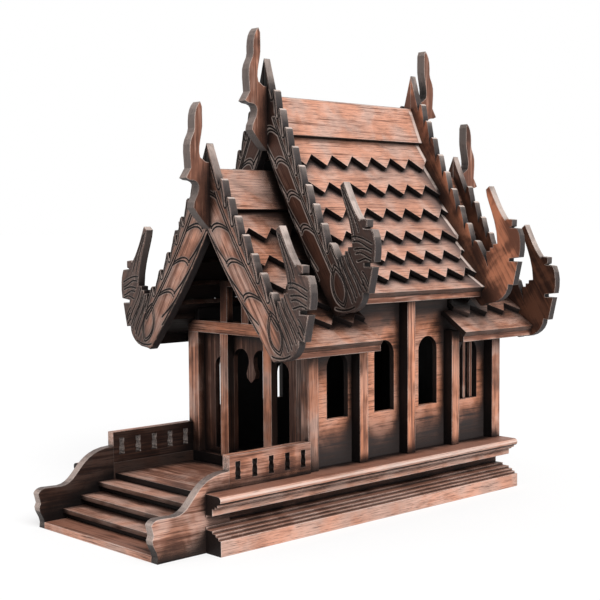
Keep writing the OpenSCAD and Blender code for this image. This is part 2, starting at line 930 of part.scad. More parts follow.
// Horn-shaped finial with a small beak, standing before the peak, drawn 103 high from its foot
module finial(gable, tip) {
    k = finial_h / 103;
    front = concat(
        curve([[-9, 103], [-14, 99], [-15.5, 92], [-15, 81.5]], 5),
        curve([[-15, 81.5], [-15.5, 75], [-21, 74], [-20.2, 62]], 5),
        [[-19.2, 49]]);
    throat = k * curve([[-16, 39], [-11.5, 38], [-11, 35], [-11.4, 32]], 4);
    beak = concat([[-finial_reach, 41 * k], [-21 * k, 39.5 * k]], throat);
    body = concat(curve([[-11.4, 32], [-12, 26], [-17, 24], [-17, 17]], 4), [[-12, 11], [-4, 3], [0, 0]]);
    back = concat([[0, 54], [-4, 54.5]], curve([[-9.5, 58], [-13, 66], [-6, 78], [-7, 88]], 6), [[-7.2, 99]]);
    translate([0, -gable, tip - finial_h])
        along_x(-finial_t / 2, finial_t / 2)
            polygon(concat(k * front, beak, k * body, k * back));
}
module main_finials() {
    color(dark)
        place()
            for (r = [0, 1])
                mirror([0, r, 0])
                    finial(main_gable, main_ridge + main_peak + main_tip_rise);
}
module low_finials() {
    color(dark)
        place()
            for (r = [0, 1])
                mirror([0, r, 0])
                    finial(low_gable, low_ridge + low_peak + low_tip_rise);
}

base_moulding_left();
base_moulding_right();
base_core_left();
base_core_right();
rear_plinth();
hall_floor();
porch_floor();
stair_plate();
stair_treads();
stair_risers();
stair_cheek_left();
stair_cheek_right();
balustrade_left();
balustrade_right();
corner_posts();
side_posts_left();
side_posts_right();
front_posts();
rear_posts();
left_wall();
right_wall();
front_wall();
rear_wall();
front_tie_beam();
rear_tie_beam();
front_gable_frame();
rear_gable_frame();
main_roof_left();
main_roof_right();
front_roof_left();
front_roof_right();
rear_roof_left();
rear_roof_right();
main_fascias();
front_fascias();
rear_fascias();
main_front_bargeboard_left();
main_front_bargeboard_right();
main_rear_bargeboard_left();
main_rear_bargeboard_right();
low_front_bargeboard_left();
low_front_bargeboard_right();
low_rear_bargeboard_left();
low_rear_bargeboard_right();
main_finials();
low_finials();
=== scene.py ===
"""Looks of a carved wooden spirit house model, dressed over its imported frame."""
import json
import math
from dataclasses import dataclass, replace

import bmesh
import bpy
import numpy as np
from bpy.props import FloatProperty, FloatVectorProperty, IntProperty, PointerProperty
from mathutils import Matrix, Vector
from mathutils.geometry import delaunay_2d_cdt


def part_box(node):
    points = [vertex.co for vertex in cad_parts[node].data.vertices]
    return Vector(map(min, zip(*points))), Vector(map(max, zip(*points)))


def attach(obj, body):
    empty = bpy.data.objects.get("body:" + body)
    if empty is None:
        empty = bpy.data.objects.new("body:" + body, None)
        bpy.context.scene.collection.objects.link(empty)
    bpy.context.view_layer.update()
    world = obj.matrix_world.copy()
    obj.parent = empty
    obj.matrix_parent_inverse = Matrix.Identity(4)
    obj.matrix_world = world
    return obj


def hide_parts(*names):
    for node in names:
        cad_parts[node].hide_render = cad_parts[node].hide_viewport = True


bl_info = {
    "name": "Carved Spirit House",
    "version": (1, 0, 0),
    "blender": (4, 5, 0),
    "location": "View3D > Sidebar > Spirit House",
    "description": "Stained wood, carved boards, window bars and stage of a wooden spirit house model",
    "category": "Object",
}

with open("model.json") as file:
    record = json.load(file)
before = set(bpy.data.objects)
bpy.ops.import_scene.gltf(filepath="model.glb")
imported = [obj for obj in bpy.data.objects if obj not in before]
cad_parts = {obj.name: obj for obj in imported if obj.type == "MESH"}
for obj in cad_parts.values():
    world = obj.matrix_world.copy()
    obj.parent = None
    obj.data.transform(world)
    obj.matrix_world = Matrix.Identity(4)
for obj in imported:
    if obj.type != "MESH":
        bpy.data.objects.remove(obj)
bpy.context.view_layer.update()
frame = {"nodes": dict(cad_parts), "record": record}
NODES = frame["nodes"]
MM = 0.001


@dataclass(frozen=True)
class Coat:
    """How one group of pieces is stained, and where light and shade are painted on it. Shares and lights go
    from 0 to 1, and lengths are in metres.
    """
    along: str = "Y"  # axis of the grain
    tone: float = 0.5  # share of rubbed wood
    pale: float = 0.3  # share of weathered wood in it
    deep: float = 0.0  # darkens all over: stain on the main gable boards, and painted shade on the risers, the front wall and the gable frame
    fine: float = 1.0  # narrows the grain
    cloudy: float = 0.4  # blurs the grain
    slope: float = 0.0  # turns the grain on a gable board, in radians
    patch: float = 0.0  # share of dark patches
    reach: float = 1.0  # stretches the painted shade out of the corners
    bare: float = 0.90  # openness above which no painted shade stays
    local: bool = False  # only the piece's own corners count
    film: float = 0.0  # painted grey shade below the rows of roof teeth
    banded: bool = False  # a wall, with painted shade towards floor and eaves
    pale_end: float = 0.0  # width of a pale strip at the rear end
    top: float = 0.0  # brown on upper faces
    gleam: float = 0.0  # painted highlight on a rounded edge
    glints: float = 0.0  # light on the ends and in the left cut-outs of the balustrades
    ledge: bool = False  # upper faces, with painted shade towards the walls
    eave: float = 0.0  # height of an eave's lighter edge
    inward: float = 0.0  # dark faces to the middle of the house
    across: float = 0.0  # painted shade on faces to the front and rear
    across_rear: float = 0.0  # painted shade on front faces in the rear half
    across_right: float = 0.0  # painted shade on front and right faces at the front right
    sides: float = 0.0  # painted shade on faces to the left and right
    front: float = 0.0  # painted shade on faces to the front
    scuffs_and_highlights: float = 1.0  # share of pale edges, partly wear and partly painted highlight
    rims: str = ""  # axis of a board's thickness, whose rim is greyed, with painted light and shade on it
    rim_light: float = 1.0  # painted light on top of a rim
    nose: float = 0.0  # painted light on the front of a rim
    carved: bool = False  # a gable board with carved lines
    line_light: float = 0.0  # painted highlight beside a carved line
    back: float = 0.0  # darkens a gable board's inner face


# The first word that a node's name contains gives its coat, so the order counts
COATS = {
    "main_roof": Coat("Y", 0.79, pale=0.80, reach=0.36, bare=0.93, scuffs_and_highlights=0.8, pale_end=0.0040, eave=0.007,
                      patch=0.15, fine=1.8, cloudy=0.15, film=0.90),
    "roof_": Coat("Y", 0.76, pale=0.60, reach=2.2, bare=0.85, front=0.97, scuffs_and_highlights=0.8, eave=0.007, patch=0.5,
                  fine=1.6, cloudy=0.35),
    "base_moulding": Coat("Y", 0.87, pale=0.9, reach=0.28, bare=0.91, local=True, front=0.985, inward=0.95,
                          gleam=0.85, patch=0.2, top=0.78, ledge=True, fine=1.4),
    "base_core": Coat("Y", 0.25, pale=0.2, reach=0.25),
    "rear_plinth": Coat("X", 0.5, pale=0.5),
    "hall_floor": Coat("X", 0.25, pale=0.4, front=0.95),
    "porch_floor": Coat("X", 0.44, pale=0.75, front=0.9, patch=0.4),
    "stair_plate": Coat("X", 0.74, pale=0.9, local=True, patch=0.3, top=0.85),
    "stair_treads": Coat("X", 0.76, pale=0.9, reach=0.5, front=0.72, patch=0.5, top=0.15),
    # The risers are dark as painted shade below the treads
    "stair_risers": Coat("X", 0.05, deep=0.6),
    "stair_cheek": Coat("Y", 0.60, pale=0.75, inward=0.92, rims="X", rim_light=0.11, nose=0.5, patch=0.35),
    "balustrade": Coat("Y", 0.50, pale=0.2, inward=0.92, scuffs_and_highlights=0.5, patch=0.3, glints=0.6),
    "side_posts": Coat("Z", 0.62, pale=0.0, across=0.985, reach=0.6, patch=0.8),
    "corner_posts": Coat("Z", 0.74, pale=0.55, across_rear=0.98, across_right=0.85, patch=0.6),
    "posts": Coat("Z", 0.74, pale=0.35, sides=0.94, patch=0.4),
    "front_wall": Coat("Z", 0.34, pale=0.3, deep=0.62, reach=1.2, scuffs_and_highlights=0.15),
    "rear_wall": Coat("Z", 0.30, pale=0.1, reach=1.5, scuffs_and_highlights=0.4),
    "wall": Coat("Y", 0.80, pale=0.0, reach=1.6, inward=0.97, across=0.97, scuffs_and_highlights=0.4, patch=0.3, banded=True),
    "tie_beam": Coat("X", 0.62, pale=0.0, patch=0.5),
    "gable_frame": Coat("Z", 0.46, pale=0.0, deep=0.2, reach=1.6, bare=0.95),
    "fascias": Coat("Y", 0.37, pale=0.35, reach=0.4, inward=0.985, front=0.95, patch=0.5),
    "finials": Coat("Z", 0.32, pale=0.4, rims="X", rim_light=0.26, nose=0.10, patch=0.6),
    "main_board": Coat("X", 0.14, pale=0.2, deep=0.5, reach=1.8, scuffs_and_highlights=0.8, rims="Y", carved=True,
                       line_light=0.42, back=0.15),
    "low_board": Coat("X", 0.60, pale=0.7, reach=1.5, scuffs_and_highlights=0.8, rims="Y", carved=True, line_light=0.16,
                      patch=0.3, back=0.84),
    "bars": Coat("Z", 0.38, pale=0.5),
}

# Noises of the wood: scale, detail, roughness and distortion
STREAKS = (0.55, 5.0, 0.62, 0.35)
PORES = (2.5, 3.0, 0.7, 0.1)
CLOUDS = (34.0, 3.0, 0.55, 0.4)
PATCHES = (17.0, 2.0, 0.6, 0.8)

# Ranges of a noise, as its values at none and at all, and the shares there where two more are given
MIDDLE = (0.3, 0.7)
BROAD = (0.25, 0.75)
TINT_TURNS = (0.36, 0.64)
PORES_SHOW = (0.50, 0.68)
RIM_PORES_SHOW = (0.5, 0.72)
SMUDGES_SHOW = (0.50, 0.70)
PATCHES_SHOW = (0.52, 0.66)
MOTTLE_SHOWS = (0.53, 0.72)
BAND_STREAKS = (0.34, 0.66, 0.98, 0.76)
GREY_STREAKS = (0.35, 0.7, 0.95, 0.62)
GLEAM_STREAKS = (0.35, 0.6, 0.4, 1.0)
POST_STREAKS = (0.36, 0.62)
GLINT_PORES = (0.35, 0.6)
END_CLOUDS = (0.36, 0.58, 0.0, 0.85)
EDGE_CLOUDS = (0.30, 0.60, 0.35, 1.0)
ROUGHNESS = (0.35, 0.75, 0.40, 0.62)

# Ranges of a face's direction along one axis, as its values at none and at all
LOOKS_FRONT = (-0.4, -0.8)
LOOKS_ALONG = (0.4, 0.8)
LOOKS_IN = (-0.3, -0.9)
LOOKS_OUT = (0.2, 0.5)
LOOKS_UP = (0.8, 0.95)
LOOKS_DOWN = (-0.15, -0.5)
LOOKS_BACK = (-0.5, -0.9)
SLOPES_UP = (0.2, 0.4)
UPRIGHT = (0.2, 0.0)
RIM_FACES = (0.6, 0.3)
RIM_LIT = (0.1, 0.8)

# Ranges of openness, and of the bend of a rounded edge
ROW_SHADE_SHOWS = (0.98, 0.76)
EDGE_FREE = (0.65, 0.93)
EDGE_BENDS = (0.99, 0.84)

# Rubbed wood: how streaks and clouds add up, and where the rubbing starts
GRAIN_STRETCH = 0.026
GRAIN_SHARE = 1.3
RUB_START = 0.925
RUB_TONE = 0.485
RUB_SOFTNESS = 0.12
TINT_SWING = 0.45
SMUDGE_TONE = 1.15

# Shares of dark stain in pores, smudges and carved lines, and of painted shade in corners, on undersides,
# ledges, board backs and rims, and beside lines
PORE_STAIN = 0.80
SMUDGE_STAIN = 0.42
CORNER_SHADE = 0.97
CORNER_SHADE_SOFTNESS = 0.34
UNDERSIDE_SHADE = 0.995
LEDGE_SHADE = 0.95
BESIDE_SHADE = 0.70
BACK_CORNER_SHADE = 0.9
LINE_STAIN = 0.97
RIM_PORE_STAIN = 0.55
RIM_CORNER_SHADE = 0.92
FIRST_ROW_SHADE = 0.5

# How far a noise moves the limit of a patch, of painted shade or of painted light
PATCH_SWAY = 0.07
CORNER_SHADE_SWAY = 0.07
ROW_SHADE_SWAY = 0.05
RIM_SWAY = 0.18
LEDGE_SWAY = 4 * MM
BAND_SWAY = 6 * MM

# Painted lights and shades, browner tops, mottle and wear
TOP_BROWN_LOW, TOP_BROWN_HIGH = 0.3, 1.3
GLEAM_TILT = 0.45
GLEAM_BEND = (0.32, 0.14)
GLINT_LEAST = 0.1
EAVE_LIGHT = 0.16
RIGHT_FACE_SHADE = 0.75
STREAK_LEAST = 0.35
MOTTLE_STREAKS, MOTTLE_CLOUDS = 0.45, 0.75
CARVED_RIM_LOW, PLAIN_RIM_LOW = 0.10, 0.3
RIM_SHARE = 0.88
RIM_CALM = 0.72
EDGE_SHARE = 0.9
GREYED_LINE_LIGHT = 0.08
NEAR_SAMPLES, BEVEL_SAMPLES = 12, 6

# Gloss and relief of the grain
PORE_RELIEF, STREAK_RELIEF = 0.6, 0.4
RELIEF_STRENGTH, RELIEF_DEPTH = 0.6, 0.5 * MM
EDGE_GLOSS = 0.10
SPECULAR = 0.16

# Share of a roof's height down to the middle of its first row of teeth, and the fade there
FIRST_ROW = 0.31
ROW_FADE = 4 * MM

# Painted shade in bands on a side wall: fades above the floor and about the tie beams' height, and from the
# hall's middle
FOOT_FADE = (41 * MM, 12 * MM)
LOW_EAVE_FADE = (-36 * MM, -12 * MM)
MAIN_EAVE_FADE = (-2 * MM, 20 * MM)
LOW_EAVE_REACH = (46 * MM, 62 * MM)

# Fade of the painted shade on the ledges before the walls, and the skin of the hall that counts as its
# inside, painted black as shade
LEDGE_FADE = (17 * MM, 3 * MM)
HALL_SKIN = 0.9 * MM


def colour(name, about, value):
    """A colour of the finish, as linear red, green and blue."""
    return FloatVectorProperty(name=name, description=about, default=value, subtype="COLOR", size=3,
                               min=0.0, max=1.0)


def length(name, about, value):
    """A length in metres."""
    return FloatProperty(name=name, description=about, default=value, unit="LENGTH", precision=4, min=0.0)


def strength(name, about, value):
    return FloatProperty(name=name, description=about, default=value, min=0.0)


class WoodFinish(bpy.types.PropertyGroup):
    """Colours and scale of the stained wood, and of its painted light and shade."""
    tan: colour("Burnished tan", "Light wood where the stain has been rubbed back", (0.68, 0.275, 0.155))
    pale: colour("Weathered tan", "Greyer light wood of the roofs and mouldings", (0.67, 0.420, 0.335))
    brown: colour("Stained brown", "Body colour of the stained wood", (0.185, 0.078, 0.050))
    grey: colour("Greyed wood", "Stained wood on the tails and the fins", (0.072, 0.048, 0.042))
    # painted shade: the dark low on the rims of the boards
    slate: colour("Dark rim", "Greyed wood low on the rims of the boards", (0.028, 0.025, 0.026))
    # painted shade: the grey below each row of roof teeth
    film: colour("Grey film", "Greyed stain below each row of roof teeth", (0.150, 0.108, 0.098))
    # painted shade: the dull dark at the foot of the side walls and under the eaves
    soot: colour("Greyed stain", "Dull stain at the foot and the head of the walls", (0.036, 0.029, 0.028))
    # dark stain in pores, smudges and carved lines, and also the painted shade in corners, on undersides and
    # shaded faces and inside the hall
    dark: colour("Dark stain", "Stain that stays in the grain and the recesses", (0.0050, 0.0037, 0.0037))
    # pale wood, partly from wear and partly painted highlight: on edges, rims, rounded edges, glints, beside
    # carved lines and at a roof's end
    worn: colour("Worn edge", "Pale wood along worn edges", (0.76, 0.62, 0.55))
    grain: length("Grain width", "Width of one streak of grain", 0.0018)
    # painted shade: how far the dark spreads out of corners and below the roof rows
    shade_reach: length("Recess reach", "How far the dark stain spreads out of a corner", 0.026)
    # the band is partly wear and partly painted highlight
    edge: length("Edge wear", "Width of the worn band along an edge", 0.0013)


class BoardCarving(bpy.types.PropertyGroup):
    """Sizes of the carving on the gable boards."""
    line: length("Line width", "Half the width of a carved line", 0.00060)
    depth: length("Line depth", "Depth of a carved line", 0.0008)
    step: length("Mesh step", "Distance between the points of the carved face", 0.00056)
    chamfer: length("Chamfer", "Chamfer round the carved face", 0.0006)


class WindowBars(bpy.types.PropertyGroup):
    """Sizes of the bars in the rear windows."""
    count: IntProperty(name="Bars", description="Bars in one window", default=2, min=1, max=6)
    width: length("Bar width", "Width of a bar", 0.0034)
    depth: length("Bar depth", "Depth of a bar in the wall", 0.0030)


class StudioStage(bpy.types.PropertyGroup):
    """Light and camera of the studio."""
    key: strength("Key light", "Strength of the key light", 2.3)
    ambient: strength("Ambient light", "Strength of the light from all round", 0.55)
    lens: FloatProperty(name="Lens", description="Focal length", default=74.16, subtype="DISTANCE_CAMERA")


class HouseSettings(bpy.types.PropertyGroup):
    """All settings of the house."""
    wood: PointerProperty(type=WoodFinish)
    carving: PointerProperty(type=BoardCarving)
    bars: PointerProperty(type=WindowBars)
    stage: PointerProperty(type=StudioStage)


def settings_of(context):
    return context.scene.spirit_house


class Tree:
    """A small helper to add and link nodes."""

    def __init__(self, tree):
        self.tree = tree

    def add(self, kind, inputs=None, **settings):
        node = self.tree.nodes.new(kind)
        for key, value in settings.items():
            setattr(node, key, value)
        for key, value in (inputs or {}).items():
            self.put(node.inputs[key], value)
        return node

    def put(self, socket, value):
        if isinstance(value, bpy.types.NodeSocket):
            self.tree.links.new(value, socket)
        else:
            socket.default_value = value

    def math(self, operation, a, b=0.0):
        return self.add("ShaderNodeMath", {0: a, 1: b}, operation=operation).outputs[0]

    def times(self, first, *others):
        for value in others:
            first = self.math("MULTIPLY", first, value)
        return first

    def plus(self, a, b):
        return self.math("ADD", a, b)

    def most(self, a, b):
        return self.math("MAXIMUM", a, b)

    def rest(self, share):
        return self.math("SUBTRACT", 1.0, share)

    def over(self, value, limit):
        return self.math("GREATER_THAN", value, limit)

    def under(self, value, limit):
        return self.math("LESS_THAN", value, limit)

    def size(self, value):
        return self.math("ABSOLUTE", value)

    def outward(self, place, direction):
        """How much a face looks away from the middle of the house along one axis."""
        return self.times(self.math("SIGN", place), direction)

    def spread(self, value, low, high, to_low=0.0, to_high=1.0):
        """A smooth step between two values."""
        node = self.add("ShaderNodeMapRange", {"Value": value, "From Min": low, "From Max": high,
                                               "To Min": to_low, "To Max": to_high})
        node.interpolation_type = "SMOOTHSTEP"
        return node.outputs["Result"]

    def swayed(self, value, noise, sway, span=MIDDLE):
        """The value, moved up or down by a noise."""
        return self.plus(value, self.spread(noise, *span, -sway, sway))

    def noise(self, place, scale, detail, roughness, distortion):
        node = self.add("ShaderNodeTexNoise", {"Vector": place, "Scale": scale, "Detail": detail,
                                               "Roughness": roughness, "Distortion": distortion})
        return node.outputs["Fac"]

    def attribute(self, name):
        """A mark on the points of a carved board."""
        return self.add("ShaderNodeAttribute", attribute_name=name, attribute_type="GEOMETRY").outputs["Fac"]

    def parts(self, vector):
        return self.add("ShaderNodeSeparateXYZ", {"Vector": vector}).outputs

    def mix(self, share, a, b):
        node = self.add("ShaderNodeMix", data_type="RGBA", blend_type="MIX")
        node.clamp_factor = True
        self.put(node.inputs["Factor"], share)
        self.put(node.inputs["A"], a)
        self.put(node.inputs["B"], b)
        return node.outputs["Result"]


def empty_nodes(owner):
    """The node tree of a material or a world, emptied."""
    owner.use_nodes = True
    owner.node_tree.nodes.clear()
    return owner.node_tree


def openings():
    """Lowest and highest corner of each opening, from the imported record."""
    return {opening["name"]: opening["box_m"] for opening in frame["record"]["physics"]["openings"]}


class Surface(Tree):
    """One wood material in the making: base is its colour so far, and shade the share that is left dark."""

    def __init__(self, name, wood, coat, nodes):
        self.material = bpy.data.materials.new(name)
        super().__init__(empty_nodes(self.material))
        self.wood, self.coat, self.nodes = wood, coat, nodes
        self.place = self.add("ShaderNodeTexCoord").outputs["Object"]
        self.facing = self.add("ShaderNodeNewGeometry").outputs["True Normal"]
        self.normal = self.parts(self.facing)
        self.where = self.parts(self.place)

    def ink(self, name, light=1.0):
        """A colour of the finish, made lighter or darker."""
        return (*(light * part for part in getattr(self.wood, name)), 1.0)

    def paint(self, share, name):
        """Lays a share of one colour of the finish over the base."""
        self.base = self.mix(share, self.base, self.ink(name))

    def darken(self, share, stain):
        """Paints shade on some faces."""
        self.shade = self.most(self.shade, self.times(share, stain))

    def lowest(self, axis):
        return min(getattr(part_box(node)[0], axis) for node in self.nodes)

    def highest(self, axis):
        return max(getattr(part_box(node)[1], axis) for node in self.nodes)

    def looks_front(self):
        return self.spread(self.normal["Y"], *LOOKS_FRONT)

    def looks_up(self):
        return self.spread(self.normal["Z"], *LOOKS_UP)

    def openness(self, reach, local=False):
        """1 where nothing stands near, and less in a corner."""
        near = self.add("ShaderNodeAmbientOcclusion", {"Distance": reach}, samples=NEAR_SAMPLES,
                        only_local=local)
        return near.outputs["AO"]


def draw_grain(t):
    """The noises: streaks and pores along the grain, and clouds."""
    stretch = [GRAIN_STRETCH if axis == t.coat.along else 1.0 for axis in "XYZ"]
    scale = [part * t.coat.fine / t.wood.grain for part in stretch]
    turned = t.add("ShaderNodeMapping", {"Vector": t.place, "Rotation": (0.0, t.coat.slope, 0.0)})
    fibres = t.add("ShaderNodeMapping", {"Vector": turned.outputs["Vector"], "Scale": scale})
    t.streaks = t.noise(fibres.outputs["Vector"], *STREAKS)
    t.pores = t.noise(fibres.outputs["Vector"], *PORES)
    t.clouds = t.noise(t.place, *CLOUDS)


def rub_wood(t):
    """Rubbed and stained wood, with dark pores and smudges."""
    coat = t.coat
    grain = t.plus(t.times(t.streaks, GRAIN_SHARE - coat.cloudy), t.times(t.clouds, coat.cloudy))
    middle = RUB_START - RUB_TONE * coat.tone
    t.rub = t.spread(grain, middle - RUB_SOFTNESS, middle + RUB_SOFTNESS)
    least, most = max(coat.pale - TINT_SWING, 0.0), min(coat.pale + TINT_SWING, 1.0)
    light = t.mix(t.spread(t.clouds, *TINT_TURNS, least, most), t.ink("tan"), t.ink("pale"))
    t.base = t.mix(t.rub, t.ink("brown"), light)
    t.paint(t.times(t.spread(t.pores, *PORES_SHOW), PORE_STAIN), "dark")
    smudge = t.times(t.spread(t.clouds, *SMUDGES_SHOW), SMUDGE_STAIN * (SMUDGE_TONE - coat.tone))
    t.paint(t.most(smudge, coat.deep), "dark")


def add_patches(t):
    """Wide dark patches that follow the grain a little."""
    wide = t.swayed(t.noise(t.place, *PATCHES), t.streaks, PATCH_SWAY)
    t.paint(t.times(t.spread(wide, *PATCHES_SHOW), t.coat.patch), "dark")


def shade_corners(t):
    """Painted shade in the corners."""
    t.near = t.openness(t.wood.shade_reach * t.coat.reach, t.coat.local)
    patchy = t.swayed(t.near, t.clouds, CORNER_SHADE_SWAY, BROAD)
    t.stain = t.spread(patchy, t.coat.bare, t.coat.bare - CORNER_SHADE_SOFTNESS)
    if t.coat.film:
        shade_below_rows(t)
    t.paint(t.times(t.stain, CORNER_SHADE), "dark")


def shade_below_rows(t):
    """Painted grey shade below the rows of teeth, and less painted corner shade on the first row."""
    low, high = t.lowest("z"), t.highest("z")
    limit = high - FIRST_ROW * (high - low)
    rows = t.spread(t.where["Z"], limit + ROW_FADE, limit - ROW_FADE)
    t.stain = t.times(t.stain, t.spread(rows, 0.0, 1.0, FIRST_ROW_SHADE, 1.0))
    far = t.swayed(t.openness(t.wood.shade_reach), t.clouds, ROW_SHADE_SWAY, BROAD)
    t.paint(t.times(t.spread(far, *ROW_SHADE_SHOWS), t.times(rows, t.coat.film)), "film")


def shade_wall_bands(t):
    """Painted shade in bands along the foot and the head of a side wall."""
    low, high = openings()["hall_inside"]
    height = t.swayed(t.where["Z"], t.clouds, BAND_SWAY)
    foot = t.spread(height, *(low[2] + fade for fade in FOOT_FADE))
    under_low = t.spread(height, *(high[2] + fade for fade in LOW_EAVE_FADE))
    under_main = t.spread(height, *(high[2] + fade for fade in MAIN_EAVE_FADE))
    from_middle = t.size(t.math("SUBTRACT", t.where["Y"], (low[1] + high[1]) / 2))
    head = t.most(t.times(under_low, t.spread(from_middle, *LOW_EAVE_REACH)), under_main)
    t.paint(t.times(t.most(foot, head), t.spread(t.streaks, *BAND_STREAKS)), "soot")


def lay_pale_end(t):
    """A pale strip at the rear end of a roof."""
    strip = t.over(t.where["Y"], t.highest("y") - t.coat.pale_end)
    strip = t.times(strip, t.spread(t.normal["Z"], *SLOPES_UP), t.spread(t.clouds, *END_CLOUDS))
    t.paint(strip, "worn")


def tread_tops(t):
    """Browner wood on upper faces."""
    browner_top = t.mix(t.rub, t.ink("brown", TOP_BROWN_LOW), t.ink("brown", TOP_BROWN_HIGH))
    t.base = t.mix(t.times(t.looks_up(), t.coat.top), t.base, browner_top)


def highlight_bend(t):
    """Painted highlight along a rounded edge."""
    tilt = t.size(t.math("SUBTRACT", t.normal["Z"], GLEAM_TILT))
    bend = t.times(t.spread(tilt, *GLEAM_BEND), t.spread(t.streaks, *GLEAM_STREAKS))
    t.paint(t.times(bend, t.coat.gleam), "worn")


def add_glints(t):
    """Light on the front ends of the balustrades and in the cut-outs of the left one."""
    at_end = t.under(t.where["Y"], t.lowest("y") + MM)
    glint = t.times(t.most(t.under(t.where["X"], 0.0), at_end), t.looks_front())
    t.paint(t.times(glint, t.spread(t.pores, *GLINT_PORES, t.coat.glints, GLINT_LEAST)), "worn")


def shade_ledge(t):
    """Painted shade on an upper face, close to the walls."""
    wall = max(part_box("right_wall")[1].x, -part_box("left_wall")[0].x)
    out = t.swayed(t.size(t.where["X"]), t.clouds, LEDGE_SWAY)
    close = t.spread(out, *(wall + fade for fade in LEDGE_FADE), 0.0, LEDGE_SHADE)
    t.shade = t.most(t.shade, t.times(t.looks_up(), close))


def lighten_eave(t):
    """A little less shade along the edge of an eave."""
    outer = t.spread(t.outward(t.where["X"], t.normal["X"]), *LOOKS_OUT)
    edge = t.times(t.under(t.where["Z"], t.lowest("z") + t.coat.eave), outer)
    edge = t.times(edge, t.spread(t.normal["Z"], *UPRIGHT))
    t.shade = t.times(t.shade, t.rest(t.times(edge, EAVE_LIGHT)))


def shade_right_post(t):
    """Streaked painted shade on the front and right faces at the front right."""
    right = t.spread(t.normal["X"], *LOOKS_ALONG, 0.0, RIGHT_FACE_SHADE)
    corner = t.times(t.over(t.where["X"], 0.0), t.under(t.where["Y"], 0.0))
    stain = t.coat.across_right
    streaked = t.spread(t.streaks, *POST_STREAKS, stain, STREAK_LEAST * stain)
    t.darken(t.times(t.most(t.looks_front(), right), corner), streaked)


def inside_hall(t):
    """1 on the faces inside the hall, which are painted black as shade, and 0 elsewhere."""
    low, high = openings()["hall_inside"]
    share = 1.0
    for axis, name in enumerate("XYZ"):
        share = t.times(share, t.over(t.where[name], low[axis] - HALL_SKIN))
        share = t.times(share, t.under(t.where[name], high[axis] + HALL_SKIN))
    return share


def shade_faces(t):
    """Painted shade on the undersides, inside the hall and on the faces that the coat darkens."""
    coat, normal, where = t.coat, t.normal, t.where
    t.shade = t.times(t.spread(normal["Z"], *LOOKS_DOWN), UNDERSIDE_SHADE)
    if coat.ledge:
        shade_ledge(t)
    if coat.eave:
        lighten_eave(t)
    if coat.inward:
        t.darken(t.spread(t.outward(where["X"], normal["X"]), *LOOKS_IN), coat.inward)
    if coat.across:
        t.darken(t.spread(t.size(normal["Y"]), *LOOKS_ALONG), coat.across)
    if coat.across_rear:
        t.darken(t.times(t.looks_front(), t.over(where["Y"], 0.0)), coat.across_rear)
    if coat.across_right:
        shade_right_post(t)
    if coat.sides:
        t.darken(t.spread(t.size(normal["X"]), *LOOKS_ALONG), coat.sides)
    if coat.front:
        t.darken(t.looks_front(), coat.front)
    t.shade = t.most(t.shade, inside_hall(t))
    t.paint(t.shade, "dark")


def grey_board(t):
    """Greyed tails and fins of a gable board, painted shade beside its lines and its rim, and its plain inner
    face with painted shade in its corners.
    """
    t.greyed = t.attribute("greyed")
    t.paint(t.times(t.greyed, t.spread(t.streaks, *GREY_STREAKS)), "grey")
    t.paint(t.times(t.attribute("beside"), BESIDE_SHADE), "dark")
    mottle = t.plus(t.times(t.streaks, MOTTLE_STREAKS), t.times(t.clouds, MOTTLE_CLOUDS))
    plain = t.mix(t.spread(mottle, *MOTTLE_SHOWS), t.ink("brown"), t.ink("tan"))
    plain = t.mix(t.most(t.times(t.stain, BACK_CORNER_SHADE), t.coat.back), plain, t.ink("dark"))
    t.base = t.mix(t.spread(t.outward(t.where["Y"], t.normal["Y"]), *LOOKS_BACK), t.base, plain)


def light_and_shade_rims(t):
    """Greyed rims of a board, with painted light on top, on the front and towards the tips, and painted shade
    low down.
    """
    coat, dark = t.coat, t.ink("dark")
    rim = t.spread(t.size(t.normal[coat.rims]), *RIM_FACES)
    low = (CARVED_RIM_LOW if coat.carved else PLAIN_RIM_LOW) * coat.rim_light
    lit = t.spread(t.swayed(t.normal["Z"], t.clouds, RIM_SWAY), *RIM_LIT, low, coat.rim_light)
    lit = t.plus(lit, t.spread(t.normal["Y"], *LOOKS_IN, 0.0, coat.nose))
    if coat.carved:
        lit = t.times(lit, t.attribute("proud"))
    lit_and_shaded_rim = t.mix(lit, t.ink("slate"), t.ink("worn"))
    lit_and_shaded_rim = t.mix(t.times(t.spread(t.pores, *RIM_PORES_SHOW), RIM_PORE_STAIN), lit_and_shaded_rim, dark)
    lit_and_shaded_rim = t.mix(t.times(t.stain, RIM_CORNER_SHADE), lit_and_shaded_rim, dark)
    t.base = t.mix(t.times(rim, RIM_SHARE), t.base, lit_and_shaded_rim)
    t.calm = t.times(rim, t.spread(lit, *RIM_LIT, RIM_CALM, 0.0))


def scuff_and_light_edges(t):
    """Pale wood along the edges that stand free and aren't left dark, partly scuffed and partly a painted
    highlight.
    """
    bevel = t.add("ShaderNodeBevel", {"Radius": t.wood.edge}, samples=BEVEL_SAMPLES)
    t.rounded = bevel.outputs["Normal"]
    bend = t.add("ShaderNodeVectorMath", {0: t.rounded, 1: t.facing}, operation="DOT_PRODUCT")
    t.worn = t.times(t.spread(bend.outputs["Value"], *EDGE_BENDS), t.spread(t.near, *EDGE_FREE))
    t.worn = t.times(t.worn, t.spread(t.clouds, *EDGE_CLOUDS), t.rest(t.shade))
    if t.coat.rims:
        t.worn = t.times(t.worn, t.rest(t.calm))
    t.paint(t.times(t.worn, EDGE_SHARE * t.coat.scuffs_and_highlights), "worn")


def stain_and_light_lines(t):
    """Dark stained carved lines, with a little painted highlight beside them."""
    light = t.spread(t.greyed, 0.0, 1.0, t.coat.line_light, GREYED_LINE_LIGHT)
    t.paint(t.times(t.attribute("carving_rim"), light), "worn")
    t.paint(t.times(t.attribute("carving"), LINE_STAIN), "dark")


